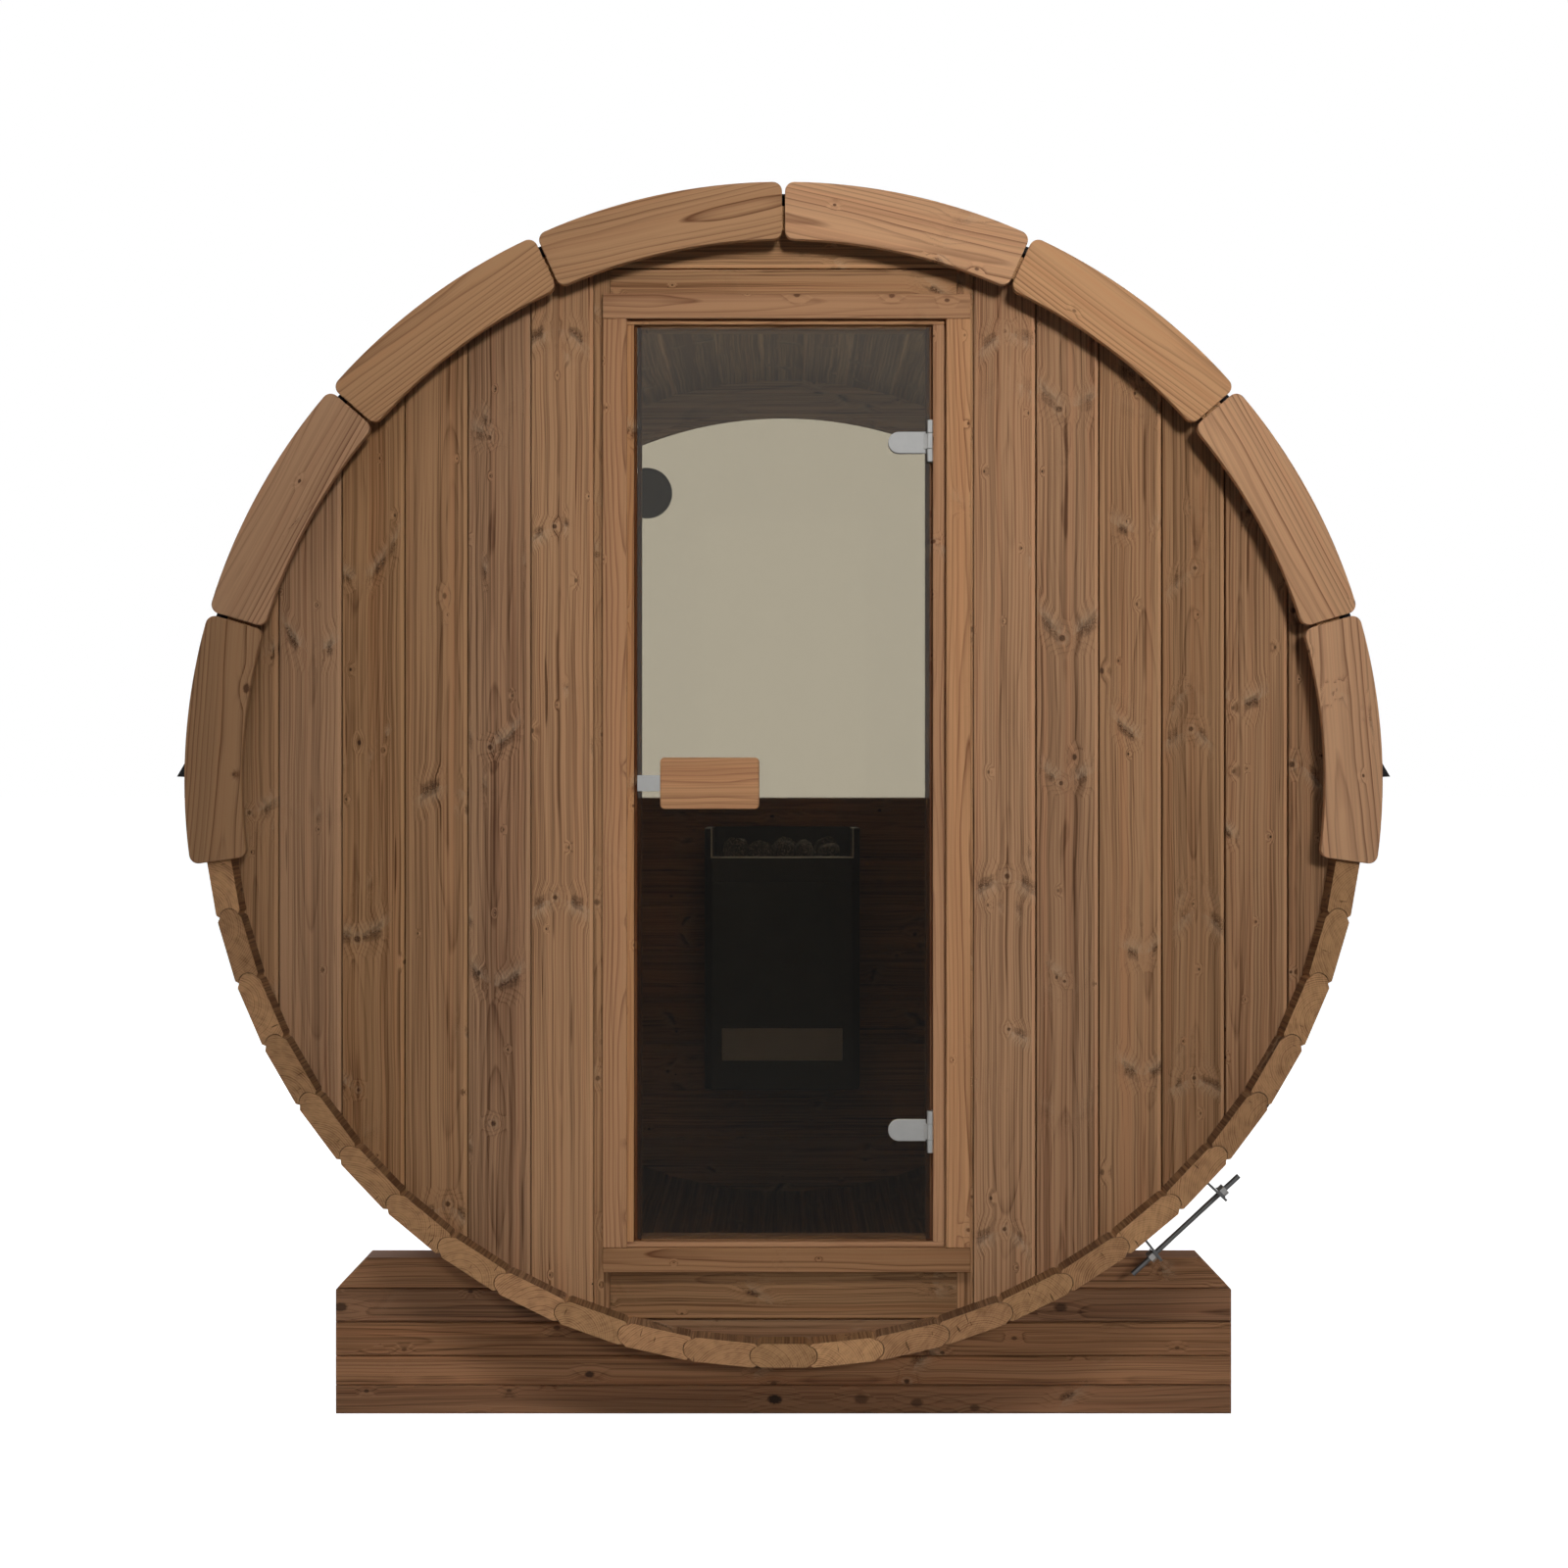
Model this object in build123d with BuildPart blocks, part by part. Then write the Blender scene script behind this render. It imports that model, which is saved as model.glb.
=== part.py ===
"""Barrel sauna with a tinted glass door, half-moon rear window, shingle roof and wall-hung heater.

Millimetres, +Z up, the door faces -Y. The barrel lies along Y and stands on two timber cradles.
"""

import math
import os

from build123d import *

os.makedirs("parts", exist_ok=True)

# Barrel shell
barrel_length = 2000.0
ground_clearance = 112.0
stave_apothem = 1008.0
stave_thickness = 42.0
stave_pitch = 6.75
bead_rise = 13.0
bead_shoulder = 3.2
bead_facets = 4
notch_width = 6.5
inner_notch_width = 3.0
joint_clearance = 0.25
fit_gap = 0.2
cut_overrun = 1.0

# Croze grooves that seat the end walls
wall_thickness = 40.0
wall_inset = 63.0
croze_depth = 10.0
seat_clearance = 0.25

# End wall boards
board_pitch = 110.7
seam_bevel = 6.0
seam_depth = 3.5
seam_gap = 2.0
seam_tongue = 2.0
back_seam_depth = 3.0
head_seam_rise = 47.4
sill_seam_drop = 85.8
post_width = 28.3

# Door casing boards, set a little off the middle of the doorway
head_margin = 113.2
sill_margin = 125.8
casing_left = -317.0
casing_right = 327.5
casing_width = 42.8
casing_thickness = 20.0
casing_edge = 2.0

# Door lining, a rebated frame
lining_inner = 261.5
lining_overlap = 52.3
lining_depth = 43.0
lining_proud = 12.0
head_reveal = 3.7
side_reveal = 2.6
stop_width = 11.5
stop_height = 9.0
stop_depth = 36.0

# Glass door, hung on the right and opening outwards
door_clearance = 5.0
glass_thickness = 8.0
glass_proud = 9.0
knuckle_proud = 20.0
knuckle_radius = 5.7
knuckle_height = 73.0
middle_height = 27.4
knuckle_gap = 0.4
pin_radius = 2.5
pin_clearance = 0.2
pin_inset = 1.0
upper_hinge_drop = 200.0
lower_hinge_rise = 189.0
clamp_shift = 2.0
clamp_length = 66.2
clamp_to_knuckle = 7.0
clamp_back_cut = 5.5
clamp_height = 38.0
clamp_thickness = 4.0
clamp_boss = 16.0
neck_overlap = 4.0
neck_depth = 5.0
neck_shift = 2.0
leaf_thickness = 2.2
leaf_clearance = 0.8
leaf_overlap = 1.0
leaf_end_gap = 0.5

# Wooden handle on both faces of the glass, and its latch strip
handle_inset = 41.0
handle_width = 173.0
handle_height = 90.0
handle_thickness = 22.0
handle_corner = 8.0
handle_edge = 2.0
handle_stud_spacing = 110.0
handle_stud = 8.0
bolt_clearance = 0.3
latch_flat = 20.0
latch_height = 28.0
latch_thickness = 2.5
latch_lift = 6.0

# Rear wall and its half-moon window
window_margin = 57.8
window_drop = 36.2
window_sill_drop = 27.7
rebate_width = 14.0
window_face = 15.0
window_glass_thickness = 8.0
bead_proud = 3.0
rear_seam_drop = 32.7
vent_angle = 23.9
vent_margin = 53.8
vent_radius = 60.0
vent_cover_radius = 55.0
vent_stem_radius = 20.0
vent_thickness = 20.0
vent_cover_thickness = 12.0

# Wall-hung heater and the floor drain
heater_centre_x = -3.0
heater_width = 356.0
heater_depth = 280.0
heater_height = 599.0
heater_above_floor = 271.0
heater_sheet = 8.0
heater_corner = 18.0
tray_front_drop = 65.0
tray_depth = 124.0
tray_cheek = 16.5
panel_margin = 40.0
panel_rise = 67.0
panel_height = 74.0
panel_thickness = 4.0
stone_columns = 5
stone_rows = 3
stone_size = 60.0
stone_size_swing = 0.06
stone_turn = 37.0
stone_pitch = 64.0
stone_taper = 8.0
stone_layer_rise = 0.85
drain_inset = 405.0
drain_radius = 12.0

# Timber cradles
cradle_width = 1600.0
cradle_height = 278.6
cradle_thickness = 88.0
cradle_inset = 150.0
cradle_chamfer_wide = 54.0
cradle_chamfer_high = 57.0
cradle_seams = (51.0, 103.0, 163.6, 223.8)
cradle_seam_depth = 3.0

# Steel bands with a screw tensioner low on the right
band_inset = 55.0
band_width = 30.0
band_thickness = 1.5
tab_upper_angle = 46.95
tab_lower_angle = 38.6
tab_thickness = 3.0
tab_height = 53.0
rod_lift = 34.7
rod_radius = 5.0
rod_half_length = 126.0
nut_radius = 9.5
nut_height = 8.5
pad_start_angle = 52.1
pad_end_angle = 57.0
pad_thickness = 4.0

# Shingle roof
shingle_thickness = 7.0
shingle_clearance = 0.3
roof_start_angle = 2.95
shingle_exposure = 8.18
crown_gap_angle = 0.01
eaves_rise = 16.0
eaves_overhang = 19.1
eaves_tip_rise = 1.8

# Curved trim boards at both ends
trim_rise = 10.5
trim_proud = 2.3
trim_width = 99.5
trim_piece_angle = 24.55
trim_gap = 5.0
trim_corners = (9.4, 4.0)
trim_thickness = 20.8
trims_per_side = 4

# Barrel levels and joint angles, worked out from the sizes above
barrel_centre_z = ground_clearance + stave_apothem
ring_plane = Plane((0, 0, barrel_centre_z), x_dir=(1, 0, 0), z_dir=(0, -1, 0))
inner_apothem = stave_apothem - stave_thickness
bead_root_outer = stave_apothem - bead_shoulder
bead_root_inner = inner_apothem + bead_shoulder
bead_middle = (bead_root_outer + bead_root_inner) / 2
half_pitch = stave_pitch / 2
pitch_cosine = math.cos(math.radians(half_pitch))
first_half = half_pitch - math.degrees(bead_rise / bead_middle)
staves_per_side = int((180 - first_half) / stave_pitch) - 1
side_top_angle = first_half + staves_per_side * stave_pitch
closing_pitch = (360 - 2 * side_top_angle) / 3
last_stave = staves_per_side + 2

# End walls
wall_radius = inner_apothem + croze_depth - seat_clearance
front_wall_face = -(barrel_length / 2 - wall_inset)
front_wall_back = front_wall_face + wall_thickness
rear_wall_face = -front_wall_face
rear_wall_back = -front_wall_back

# Doorway levels, from the casing inwards
casing_top = barrel_centre_z + wall_radius - head_margin
casing_bottom = barrel_centre_z - wall_radius + sill_margin
casing_inner_top = casing_top - casing_width
casing_inner_bottom = casing_bottom + casing_width
casing_inner_left = casing_left + casing_width
casing_inner_right = casing_right - casing_width
lining_top = casing_top - lining_overlap
lining_bottom = casing_bottom + lining_overlap
nose_head = casing_inner_top - head_reveal
nose_sill = casing_inner_bottom + fit_gap
nose_left = -casing_inner_left - fit_gap
nose_right = casing_inner_right - side_reveal
stop_inner = lining_inner - stop_width
stop_top = lining_top - stop_height
stop_bottom = lining_bottom + stop_height
post_inner = lining_inner + lining_depth
post_outer = post_inner + post_width
head_seam_z = casing_top + head_seam_rise
sill_seam_z = casing_bottom - sill_seam_drop

# Glass, hinges and handle
glass_half_width = lining_inner - door_clearance
glass_bottom = lining_bottom + door_clearance
glass_top = lining_top - door_clearance
glass_front_y = front_wall_face - glass_proud
glass_back_y = glass_front_y + glass_thickness
knuckle_x = glass_half_width
knuckle_y = front_wall_face - knuckle_proud
clamp_right = knuckle_x - clamp_to_knuckle
clamp_left = clamp_right - clamp_length
clamp_back_right = clamp_right - clamp_back_cut
clamp_boss_x = (clamp_left + clamp_right) / 2
upper_hinge_z = glass_top - upper_hinge_drop
lower_hinge_z = glass_bottom + lower_hinge_rise
hinge_levels = ((upper_hinge_z, upper_hinge_z - clamp_shift), (lower_hinge_z, lower_hinge_z + clamp_shift))
handle_left = handle_inset - glass_half_width
handle_x = handle_left + handle_width / 2
handle_z = (glass_bottom + glass_top) / 2
latch_left = -glass_half_width + fit_gap
latch_bend_x = latch_left + latch_flat

# Rear window, heater and drain
window_radius = wall_radius - window_margin
window_centre_z = barrel_centre_z - window_drop
window_bottom = barrel_centre_z - window_sill_drop
rebate_radius = window_radius + rebate_width
rebate_bottom = window_bottom - rebate_width
pane_front = rear_wall_back + window_face + fit_gap
pane_back = pane_front + window_glass_thickness
vent_reach = window_radius - vent_margin - vent_radius
vent_x = -vent_reach * math.sin(math.radians(vent_angle))
vent_z = window_centre_z + vent_reach * math.cos(math.radians(vent_angle))
heater_bottom = barrel_centre_z - inner_apothem + heater_above_floor
heater_top = heater_bottom + heater_height
heater_back_y = rear_wall_back - fit_gap
heater_front_y = heater_back_y - heater_depth
heater_middle_y = heater_back_y - heater_depth / 2
tray_front_z = heater_top - tray_front_drop
tray_floor_z = heater_top - tray_depth
drain_y = rear_wall_back - drain_inset

# Bands, roof, trims and cradles
band_y = -(barrel_length / 2 - band_inset)
band_apothem = stave_apothem + fit_gap
band_corner = band_apothem / pitch_cosine
rod_offset = stave_apothem + rod_lift
roof_base_radius = (band_apothem + band_thickness) / pitch_cosine + seat_clearance
shingle_step = shingle_thickness + shingle_clearance
shingle_courses = int((90 - roof_start_angle) / shingle_exposure)
ridge_half_angle = 90 - roof_start_angle - shingle_courses * shingle_exposure
roof_outer_radius = roof_base_radius + 2 * shingle_step + shingle_thickness
trim_centre_z = barrel_centre_z + trim_rise
trim_outer_radius = roof_outer_radius + trim_proud
trim_inner_radius = trim_outer_radius - trim_width
face_half_width = stave_apothem * math.tan(math.radians(half_pitch)) - notch_width
cradle_seat_radius = math.hypot(stave_apothem, face_half_width) + fit_gap
cradle_middle_y = -(barrel_length / 2 - cradle_inset) + cradle_thickness / 2


def export_part(part, name):
    """Labels a finished piece and writes it as one file."""
    part.label = name
    export_step(part, "parts/" + name + ".step")


def on_ray(angle, radius, forward=0.0):
    """A point in the ring plane: angle from the bottom, radius, and a step along the ring."""
    a = math.radians(angle)
    return (
        radius * math.sin(a) + forward * math.cos(a),
        -radius * math.cos(a) + forward * math.sin(a),
    )


def top_ray(angle, radius):
    """A point in the ring plane, angle measured from the horizontal on the right."""
    a = math.radians(angle)
    return (radius * math.cos(a), radius * math.sin(a))


def joint_edge(angle, bulge, shift):
    """The rounded edge between two staves as short flats on an arc, from the outer root inwards."""
    half_chord = (bead_root_outer - bead_root_inner) / 2
    arc_radius = (half_chord**2 + bulge**2) / (2 * abs(bulge))
    half_sweep = math.asin(half_chord / arc_radius)
    direction = math.copysign(1, bulge)
    points = []
    for step in range(bead_facets + 1):
        turn = half_sweep * (1 - 2 * step / bead_facets)
        rise = arc_radius * math.cos(turn) - arc_radius + abs(bulge)
        points.append(on_ray(angle, bead_middle + arc_radius * math.sin(turn), direction * rise + shift))
    return points


def stave_outline(half, lower_bead, upper_bead):
    """One stave in section: flat faces, V-notched edges, a bead or a cove on each edge."""
    corner_out = stave_apothem * math.tan(math.radians(half))
    corner_in = inner_apothem * math.tan(math.radians(half))
    lower_bulge = -bead_rise if lower_bead else bead_rise
    upper_bulge = bead_rise if upper_bead else -bead_rise
    lower = joint_edge(-half, lower_bulge, 0.0 if lower_bead else joint_clearance)
    upper = joint_edge(half, upper_bulge, 0.0 if upper_bead else -joint_clearance)
    face_out = corner_out - notch_width
    face_in = corner_in - inner_notch_width
    with BuildSketch() as outline:
        with BuildLine():
            Polyline(
                (-face_out, -stave_apothem),
                (face_out, -stave_apothem),
                *upper,
                (face_in, -inner_apothem),
                (-face_in, -inner_apothem),
                *reversed(lower),
                close=True,
            )
        make_face()
    return outline.sketch


bottom_stave = stave_outline(first_half, True, True)
side_stave = stave_outline(half_pitch, False, True)
closing_stave = stave_outline(closing_pitch / 2, False, True)
crown_stave = stave_outline(closing_pitch / 2, False, False)


def stave_section(number):
    """The outline of stave number k: 0 at the bottom, positive up the right, negative up the left."""
    side = 1 if number >= 0 else -1
    rank = abs(number)
    if rank == 0:
        return bottom_stave
    if rank <= staves_per_side:
        turn = first_half + (rank - 0.5) * stave_pitch
        shape = side_stave
    elif rank == staves_per_side + 1:
        turn = side_top_angle + closing_pitch / 2
        shape = closing_stave
    else:
        return crown_stave.rotate(Axis.Z, 180)
    if side < 0:
        shape = shape.mirror(Plane.YZ)
    return shape.rotate(Axis.Z, side * turn)


def joint_angles():
    """Every joint angle round the ring, from the bottom."""
    side = [first_half + n * stave_pitch for n in range(staves_per_side + 1)]
    side.append(side_top_angle + closing_pitch)
    return [-a for a in reversed(side)] + side


def croze_polygon():
    """The flat-bottomed groove line, one flat on each stave."""
    radius = (wall_radius + seat_clearance) / math.cos(math.radians(half_pitch))
    return [on_ray(a, radius) for a in joint_angles()]


def build_staves(numbers, name):
    """Staves that don't touch one another, with both croze grooves cut across them."""
    with BuildPart() as staves:
        with BuildSketch(ring_plane):
            for number in numbers:
                add(stave_section(number))
        extrude(amount=barrel_length / 2, both=True)
        for middle in (front_wall_face + wall_thickness / 2, rear_wall_face - wall_thickness / 2):
            with BuildSketch(ring_plane.offset(-middle)):
                Polygon(*croze_polygon(), align=None)
            extrude(
                amount=wall_thickness / 2 + seat_clearance, both=True, mode=Mode.SUBTRACT
            )
        if 0 in numbers:
            with BuildSketch(Plane.XY):
                with Locations((0, drain_y)):
                    Circle(drain_radius)
            extrude(amount=barrel_centre_z / 2, mode=Mode.SUBTRACT)
    export_part(staves.part, name)


floor_range = range(-4, 5)
side_range = range(5, 14)
roof_range = range(14, last_stave)
for parity, word in ((0, "even"), (1, "odd")):
    build_staves([n for n in floor_range if n % 2 == parity], "floor_staves_" + word)
    build_staves([n for n in side_range if n % 2 == parity], "right_staves_" + word)
    build_staves([-n for n in side_range if n % 2 == parity], "left_staves_" + word)
    crown = [last_stave] if last_stave % 2 == parity else []
    upper = [n for n in roof_range if n % 2 == parity]
    build_staves(upper + [-n for n in upper] + crown, "roof_staves_" + word)


def board_reveal(seam, face, depth_sign):
    """The reveal between two boards: a bevel, then a narrow gap. Seam position runs first."""
    edge = seam - seam_gap / 2
    deep = face + depth_sign * (seam_depth + seam_tongue)
    with BuildSketch() as reveal:
        with BuildLine():
            Polyline(
                (edge - seam_bevel, face - depth_sign),
                (edge - seam_bevel, face),
                (edge, face + depth_sign * seam_depth),
                (edge, deep),
                (seam + seam_gap / 2, deep),
                (seam + seam_gap / 2, face - depth_sign),
                close=True,
            )
        make_face()
    return reveal.sketch


def back_groove(seam, face, depth_sign):
    """A small V between boards on the room side."""
    with BuildSketch() as groove:
        with BuildLine():
            Polyline(
                (seam - back_seam_depth - cut_overrun, face - depth_sign),
                (seam, face + depth_sign * back_seam_depth),
                (seam + back_seam_depth + cut_overrun, face - depth_sign),
                close=True,
            )
        make_face()
    return groove.sketch


with BuildPart() as end_wall_round:
    with BuildSketch(ring_plane):
        Circle(wall_radius)
    extrude(amount=barrel_length / 2, both=True)


def level_cut(cut):
    """Turns a cut drawn at minus the seam's height so that depth comes first and the seam is level."""
    return cut.rotate(Axis.Z, -90)


def upright_wall(left, right, seams, name):
    """A panel of upright boards between two x values."""
    with BuildPart() as wall:
        with BuildSketch(Plane.XY.offset(barrel_centre_z)):
            with Locations(((left + right) / 2, front_wall_face + wall_thickness / 2)):
                Rectangle(right - left, wall_thickness)
            for seam in seams:
                add(board_reveal(seam, front_wall_face, 1), mode=Mode.SUBTRACT)
                add(back_groove(seam, front_wall_back, -1), mode=Mode.SUBTRACT)
        extrude(amount=wall_radius, both=True)
        add(end_wall_round.part, mode=Mode.INTERSECT)
    export_part(wall.part, name)


seam_count = int((wall_radius - post_outer) / board_pitch)
right_seams = [post_outer + board_pitch * (n + 1) for n in range(seam_count)]
upright_wall(post_outer + fit_gap, wall_radius, right_seams, "front_wall_right")
upright_wall(-wall_radius, -post_outer - fit_gap, [-s for s in right_seams], "front_wall_left")

with BuildPart() as door_posts:
    for side in (-1, 1):
        with BuildSketch(Plane.XY.offset(barrel_centre_z)):
            with Locations((side * (post_inner + post_outer) / 2, front_wall_face + wall_thickness / 2)):
                Rectangle(post_outer - post_inner, wall_thickness)
        extrude(amount=wall_radius, both=True)
    add(end_wall_round.part, mode=Mode.INTERSECT)
export_part(door_posts.part, "door_posts")


def level_wall(bottom, top, seam, name):
    """A short panel of level boards between the door posts."""
    with BuildPart() as wall:
        with BuildSketch(Plane.YZ):
            with Locations((front_wall_face + wall_thickness / 2, (bottom + top) / 2)):
                Rectangle(wall_thickness, top - bottom)
            add(level_cut(board_reveal(-seam, front_wall_face, 1)), mode=Mode.SUBTRACT)
        extrude(amount=post_inner - fit_gap, both=True)
        add(end_wall_round.part, mode=Mode.INTERSECT)
    export_part(wall.part, name)


head_bottom = lining_top + lining_depth + fit_gap
sill_top = lining_bottom - lining_depth - fit_gap
level_wall(head_bottom, barrel_centre_z + wall_radius, head_seam_z, "front_wall_head")
level_wall(barrel_centre_z - wall_radius, sill_top, sill_seam_z, "front_wall_sill")

# Door lining: back block in the wall, nose inside the casing, stop behind the glass
lining_face = front_wall_face - lining_proud
lining_back = front_wall_back
stop_front = front_wall_back - stop_depth


def lining_profile(opening, block, nose, stop):
    """Section of the rebated lining. The first value runs across the opening, the second is depth."""
    with BuildSketch() as profile:
        with BuildLine():
            Polyline(
                (opening, lining_face),
                (nose, lining_face),
                (nose, front_wall_face + fit_gap),
                (block, front_wall_face + fit_gap),
                (block, lining_back),
                (stop, lining_back),
                (stop, stop_front),
                (opening, stop_front),
                close=True,
            )
        make_face()
    return profile.sketch


def lining_side(sign, nose, name):
    """An upright of the lining; the right one has the positive sign."""
    block = sign * (post_inner - fit_gap)
    with BuildPart() as lining:
        with BuildSketch(Plane.XY.offset(lining_bottom + fit_gap)):
            add(lining_profile(sign * lining_inner, block, sign * nose, sign * stop_inner))
        extrude(amount=lining_top - lining_bottom - 2 * fit_gap)
    export_part(lining.part, name)


def lining_level(opening, block, nose, stop, name):
    """The head or sill of the lining; its nose and stop stay between the sides."""
    with BuildPart() as lining:
        with BuildSketch(Plane.XZ.offset(-lining_back)):
            with Locations((0, (opening + block) / 2)):
                Rectangle(2 * (post_inner - fit_gap), abs(block - opening))
        extrude(amount=wall_thickness - fit_gap)
        with BuildSketch(Plane.XZ.offset(-lining_back)):
            with Locations((0, (opening + stop) / 2)):
                Rectangle(2 * (stop_inner - fit_gap), abs(stop - opening))
        extrude(amount=stop_depth)
        with BuildSketch(Plane.XZ.offset(-front_wall_face - fit_gap)):
            with Locations(((nose_right - nose_left) / 2, (opening + nose) / 2)):
                Rectangle(nose_right + nose_left, abs(nose - opening))
        extrude(amount=-lining_face + front_wall_face + fit_gap)
    export_part(lining.part, name)


lining_side(-1, nose_left, "lining_left")
lining_side(1, nose_right, "lining_right")
lining_level(lining_top, lining_top + lining_depth, nose_head, stop_top, "lining_head")
lining_level(lining_bottom, lining_bottom - lining_depth, nose_sill, stop_bottom, "lining_sill")


def casing_board(left, right, bottom, top, name):
    """A flat trim board round the doorway with eased front edges."""
    with BuildPart() as board:
        with BuildSketch(Plane.XZ.offset(-front_wall_face + fit_gap)):
            with Locations(((left + right) / 2, (bottom + top) / 2)):
                Rectangle(right - left, top - bottom)
        extrude(amount=casing_thickness - fit_gap)
        chamfer(board.faces().sort_by(Axis.Y)[0].edges(), casing_edge)
    export_part(board.part, name)


side_bottom = casing_inner_bottom + fit_gap
side_top = casing_inner_top - fit_gap
casing_board(casing_left, casing_right, casing_inner_top, casing_top, "casing_head")
casing_board(casing_left, casing_right, casing_bottom, casing_inner_bottom, "casing_sill")
casing_board(casing_left, casing_inner_left, side_bottom, side_top, "casing_left")
casing_board(casing_inner_right, casing_right, side_bottom, side_top, "casing_right")

# Glass door leaf with drilled holes
handle_studs = [(handle_x + side * handle_stud_spacing / 2, handle_z) for side in (-1, 1)]
clamp_bosses = [(clamp_boss_x, clamp_z) for middle_z, clamp_z in hinge_levels]

with BuildPart() as door_glass:
    with BuildSketch(Plane.XZ.offset(-glass_back_y)):
        with Locations((0, (glass_bottom + glass_top) / 2)):
            Rectangle(2 * glass_half_width, glass_top - glass_bottom)
        with Locations(*handle_studs):
            Rectangle(handle_stud + 2 * bolt_clearance, handle_stud + 2 * bolt_clearance, mode=Mode.SUBTRACT)
        with Locations(*clamp_bosses):
            Rectangle(clamp_boss + 2 * bolt_clearance, clamp_boss + 2 * bolt_clearance, mode=Mode.SUBTRACT)
    extrude(amount=glass_thickness)
export_part(door_glass.part, "door_glass")

# Handle: two wooden plates held together by two studs through the glass
with BuildPart() as door_handle:
    for face_y in (glass_front_y - fit_gap, glass_back_y + fit_gap + handle_thickness):
        with BuildSketch(Plane.XZ.offset(-face_y)):
            with Locations((handle_x, handle_z)):
                RectangleRounded(handle_width, handle_height, handle_corner)
        extrude(amount=handle_thickness)
    chamfer(door_handle.faces().sort_by(Axis.Y)[0].edges(), handle_edge)
    chamfer(door_handle.faces().sort_by(Axis.Y)[-1].edges(), handle_edge)
    with BuildSketch(Plane.XZ.offset(-glass_back_y - fit_gap - cut_overrun)):
        with Locations(*handle_studs):
            Rectangle(handle_stud, handle_stud)
    extrude(amount=glass_thickness + 2 * (fit_gap + cut_overrun))
export_part(door_handle.part, "door_handle")

# Latch strip: flat on the glass edge, then bent out to the handle
latch_rest = glass_front_y - fit_gap
with BuildPart() as latch_plate:
    with BuildSketch(Plane.XY.offset(handle_z)):
        with BuildLine():
            Polyline(
                (latch_left, latch_rest),
                (latch_bend_x, latch_rest),
                (handle_left - fit_gap, latch_rest - latch_lift),
                (handle_left - fit_gap, latch_rest - latch_lift - latch_thickness),
                (latch_bend_x, latch_rest - latch_thickness),
                (latch_left, latch_rest - latch_thickness),
                close=True,
            )
        make_face()
    extrude(amount=latch_height / 2, both=True)
export_part(latch_plate.part, "latch_plate")


def glass_clamp(middle_z, clamp_z):
    """Round-ended clamp plates on both faces of the glass, with the middle knuckle of the hinge."""
    half = clamp_height / 2
    neck_left = clamp_right - neck_overlap
    with BuildPart() as clamp:
        for face_y, plate_right in (
            (glass_front_y - fit_gap, clamp_right),
            (glass_back_y + fit_gap + clamp_thickness, clamp_back_right),
        ):
            with BuildSketch(Plane.XZ.offset(-face_y)):
                with Locations((clamp_left + half, clamp_z)):
                    Circle(half)
                with Locations(((clamp_left + half + plate_right) / 2, clamp_z)):
                    Rectangle(plate_right - clamp_left - half, clamp_height)
            extrude(amount=clamp_thickness)
        with BuildSketch(Plane.XZ.offset(-glass_back_y - fit_gap - cut_overrun)):
            with Locations((clamp_boss_x, clamp_z)):
                Rectangle(clamp_boss, clamp_boss)
        extrude(amount=glass_thickness + 2 * (fit_gap + cut_overrun))
        with BuildSketch(Plane.XY.offset(middle_z)):
            with Locations((knuckle_x, knuckle_y)):
                Circle(knuckle_radius)
            with Locations(((neck_left + knuckle_x) / 2, glass_front_y - clamp_thickness - neck_shift)):
                Rectangle(knuckle_x - neck_left, neck_depth)
            with Locations((knuckle_x, knuckle_y)):
                Circle(pin_radius + pin_clearance, mode=Mode.SUBTRACT)
        extrude(amount=middle_height / 2, both=True)
    return clamp.part


leaf_back_y = stop_front - leaf_end_gap


def hinge_leaf(middle_z):
    """Pin, outer knuckles and the leaf that is screwed to the edge of the lining."""
    leaf_front = knuckle_y + knuckle_radius + leaf_clearance
    leaf_x = lining_inner - fit_gap - leaf_thickness / 2
    ear_height = (knuckle_height - middle_height) / 2 - knuckle_gap
    ear_offset = (middle_height + ear_height) / 2 + knuckle_gap
    with BuildPart() as leaf:
        with BuildSketch(Plane.XY.offset(middle_z)):
            with Locations((leaf_x, (leaf_front + leaf_back_y) / 2)):
                Rectangle(leaf_thickness, leaf_back_y - leaf_front)
        extrude(amount=knuckle_height / 2, both=True)
        for side in (-1, 1):
            with BuildSketch(Plane.XY.offset(middle_z + side * ear_offset)):
                with Locations((knuckle_x, knuckle_y)):
                    Circle(knuckle_radius)
                with Locations((leaf_x, (knuckle_y + leaf_front + leaf_overlap) / 2)):
                    Rectangle(leaf_thickness, leaf_front + leaf_overlap - knuckle_y)
            extrude(amount=ear_height / 2, both=True)
        with BuildSketch(Plane.XY.offset(middle_z)):
            with Locations((knuckle_x, knuckle_y)):
                Circle(pin_radius)
        extrude(amount=knuckle_height / 2 - pin_inset, both=True)
    return leaf.part


with BuildPart() as hinge_clamps:
    for middle_z, clamp_z in hinge_levels:
        add(glass_clamp(middle_z, clamp_z))
export_part(hinge_clamps.part, "hinge_clamps")

with BuildPart() as hinge_leaves:
    for middle_z, clamp_z in hinge_levels:
        add(hinge_leaf(middle_z))
export_part(hinge_leaves.part, "hinge_leaves")

# Rear wall of level boards below the window sill
rear_seam_top = window_bottom - rear_seam_drop
rear_seam_count = int(wall_radius / board_pitch) + 1
rear_seams = [rear_seam_top - board_pitch * n for n in range(rear_seam_count)]
rear_floor = barrel_centre_z - wall_radius

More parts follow.
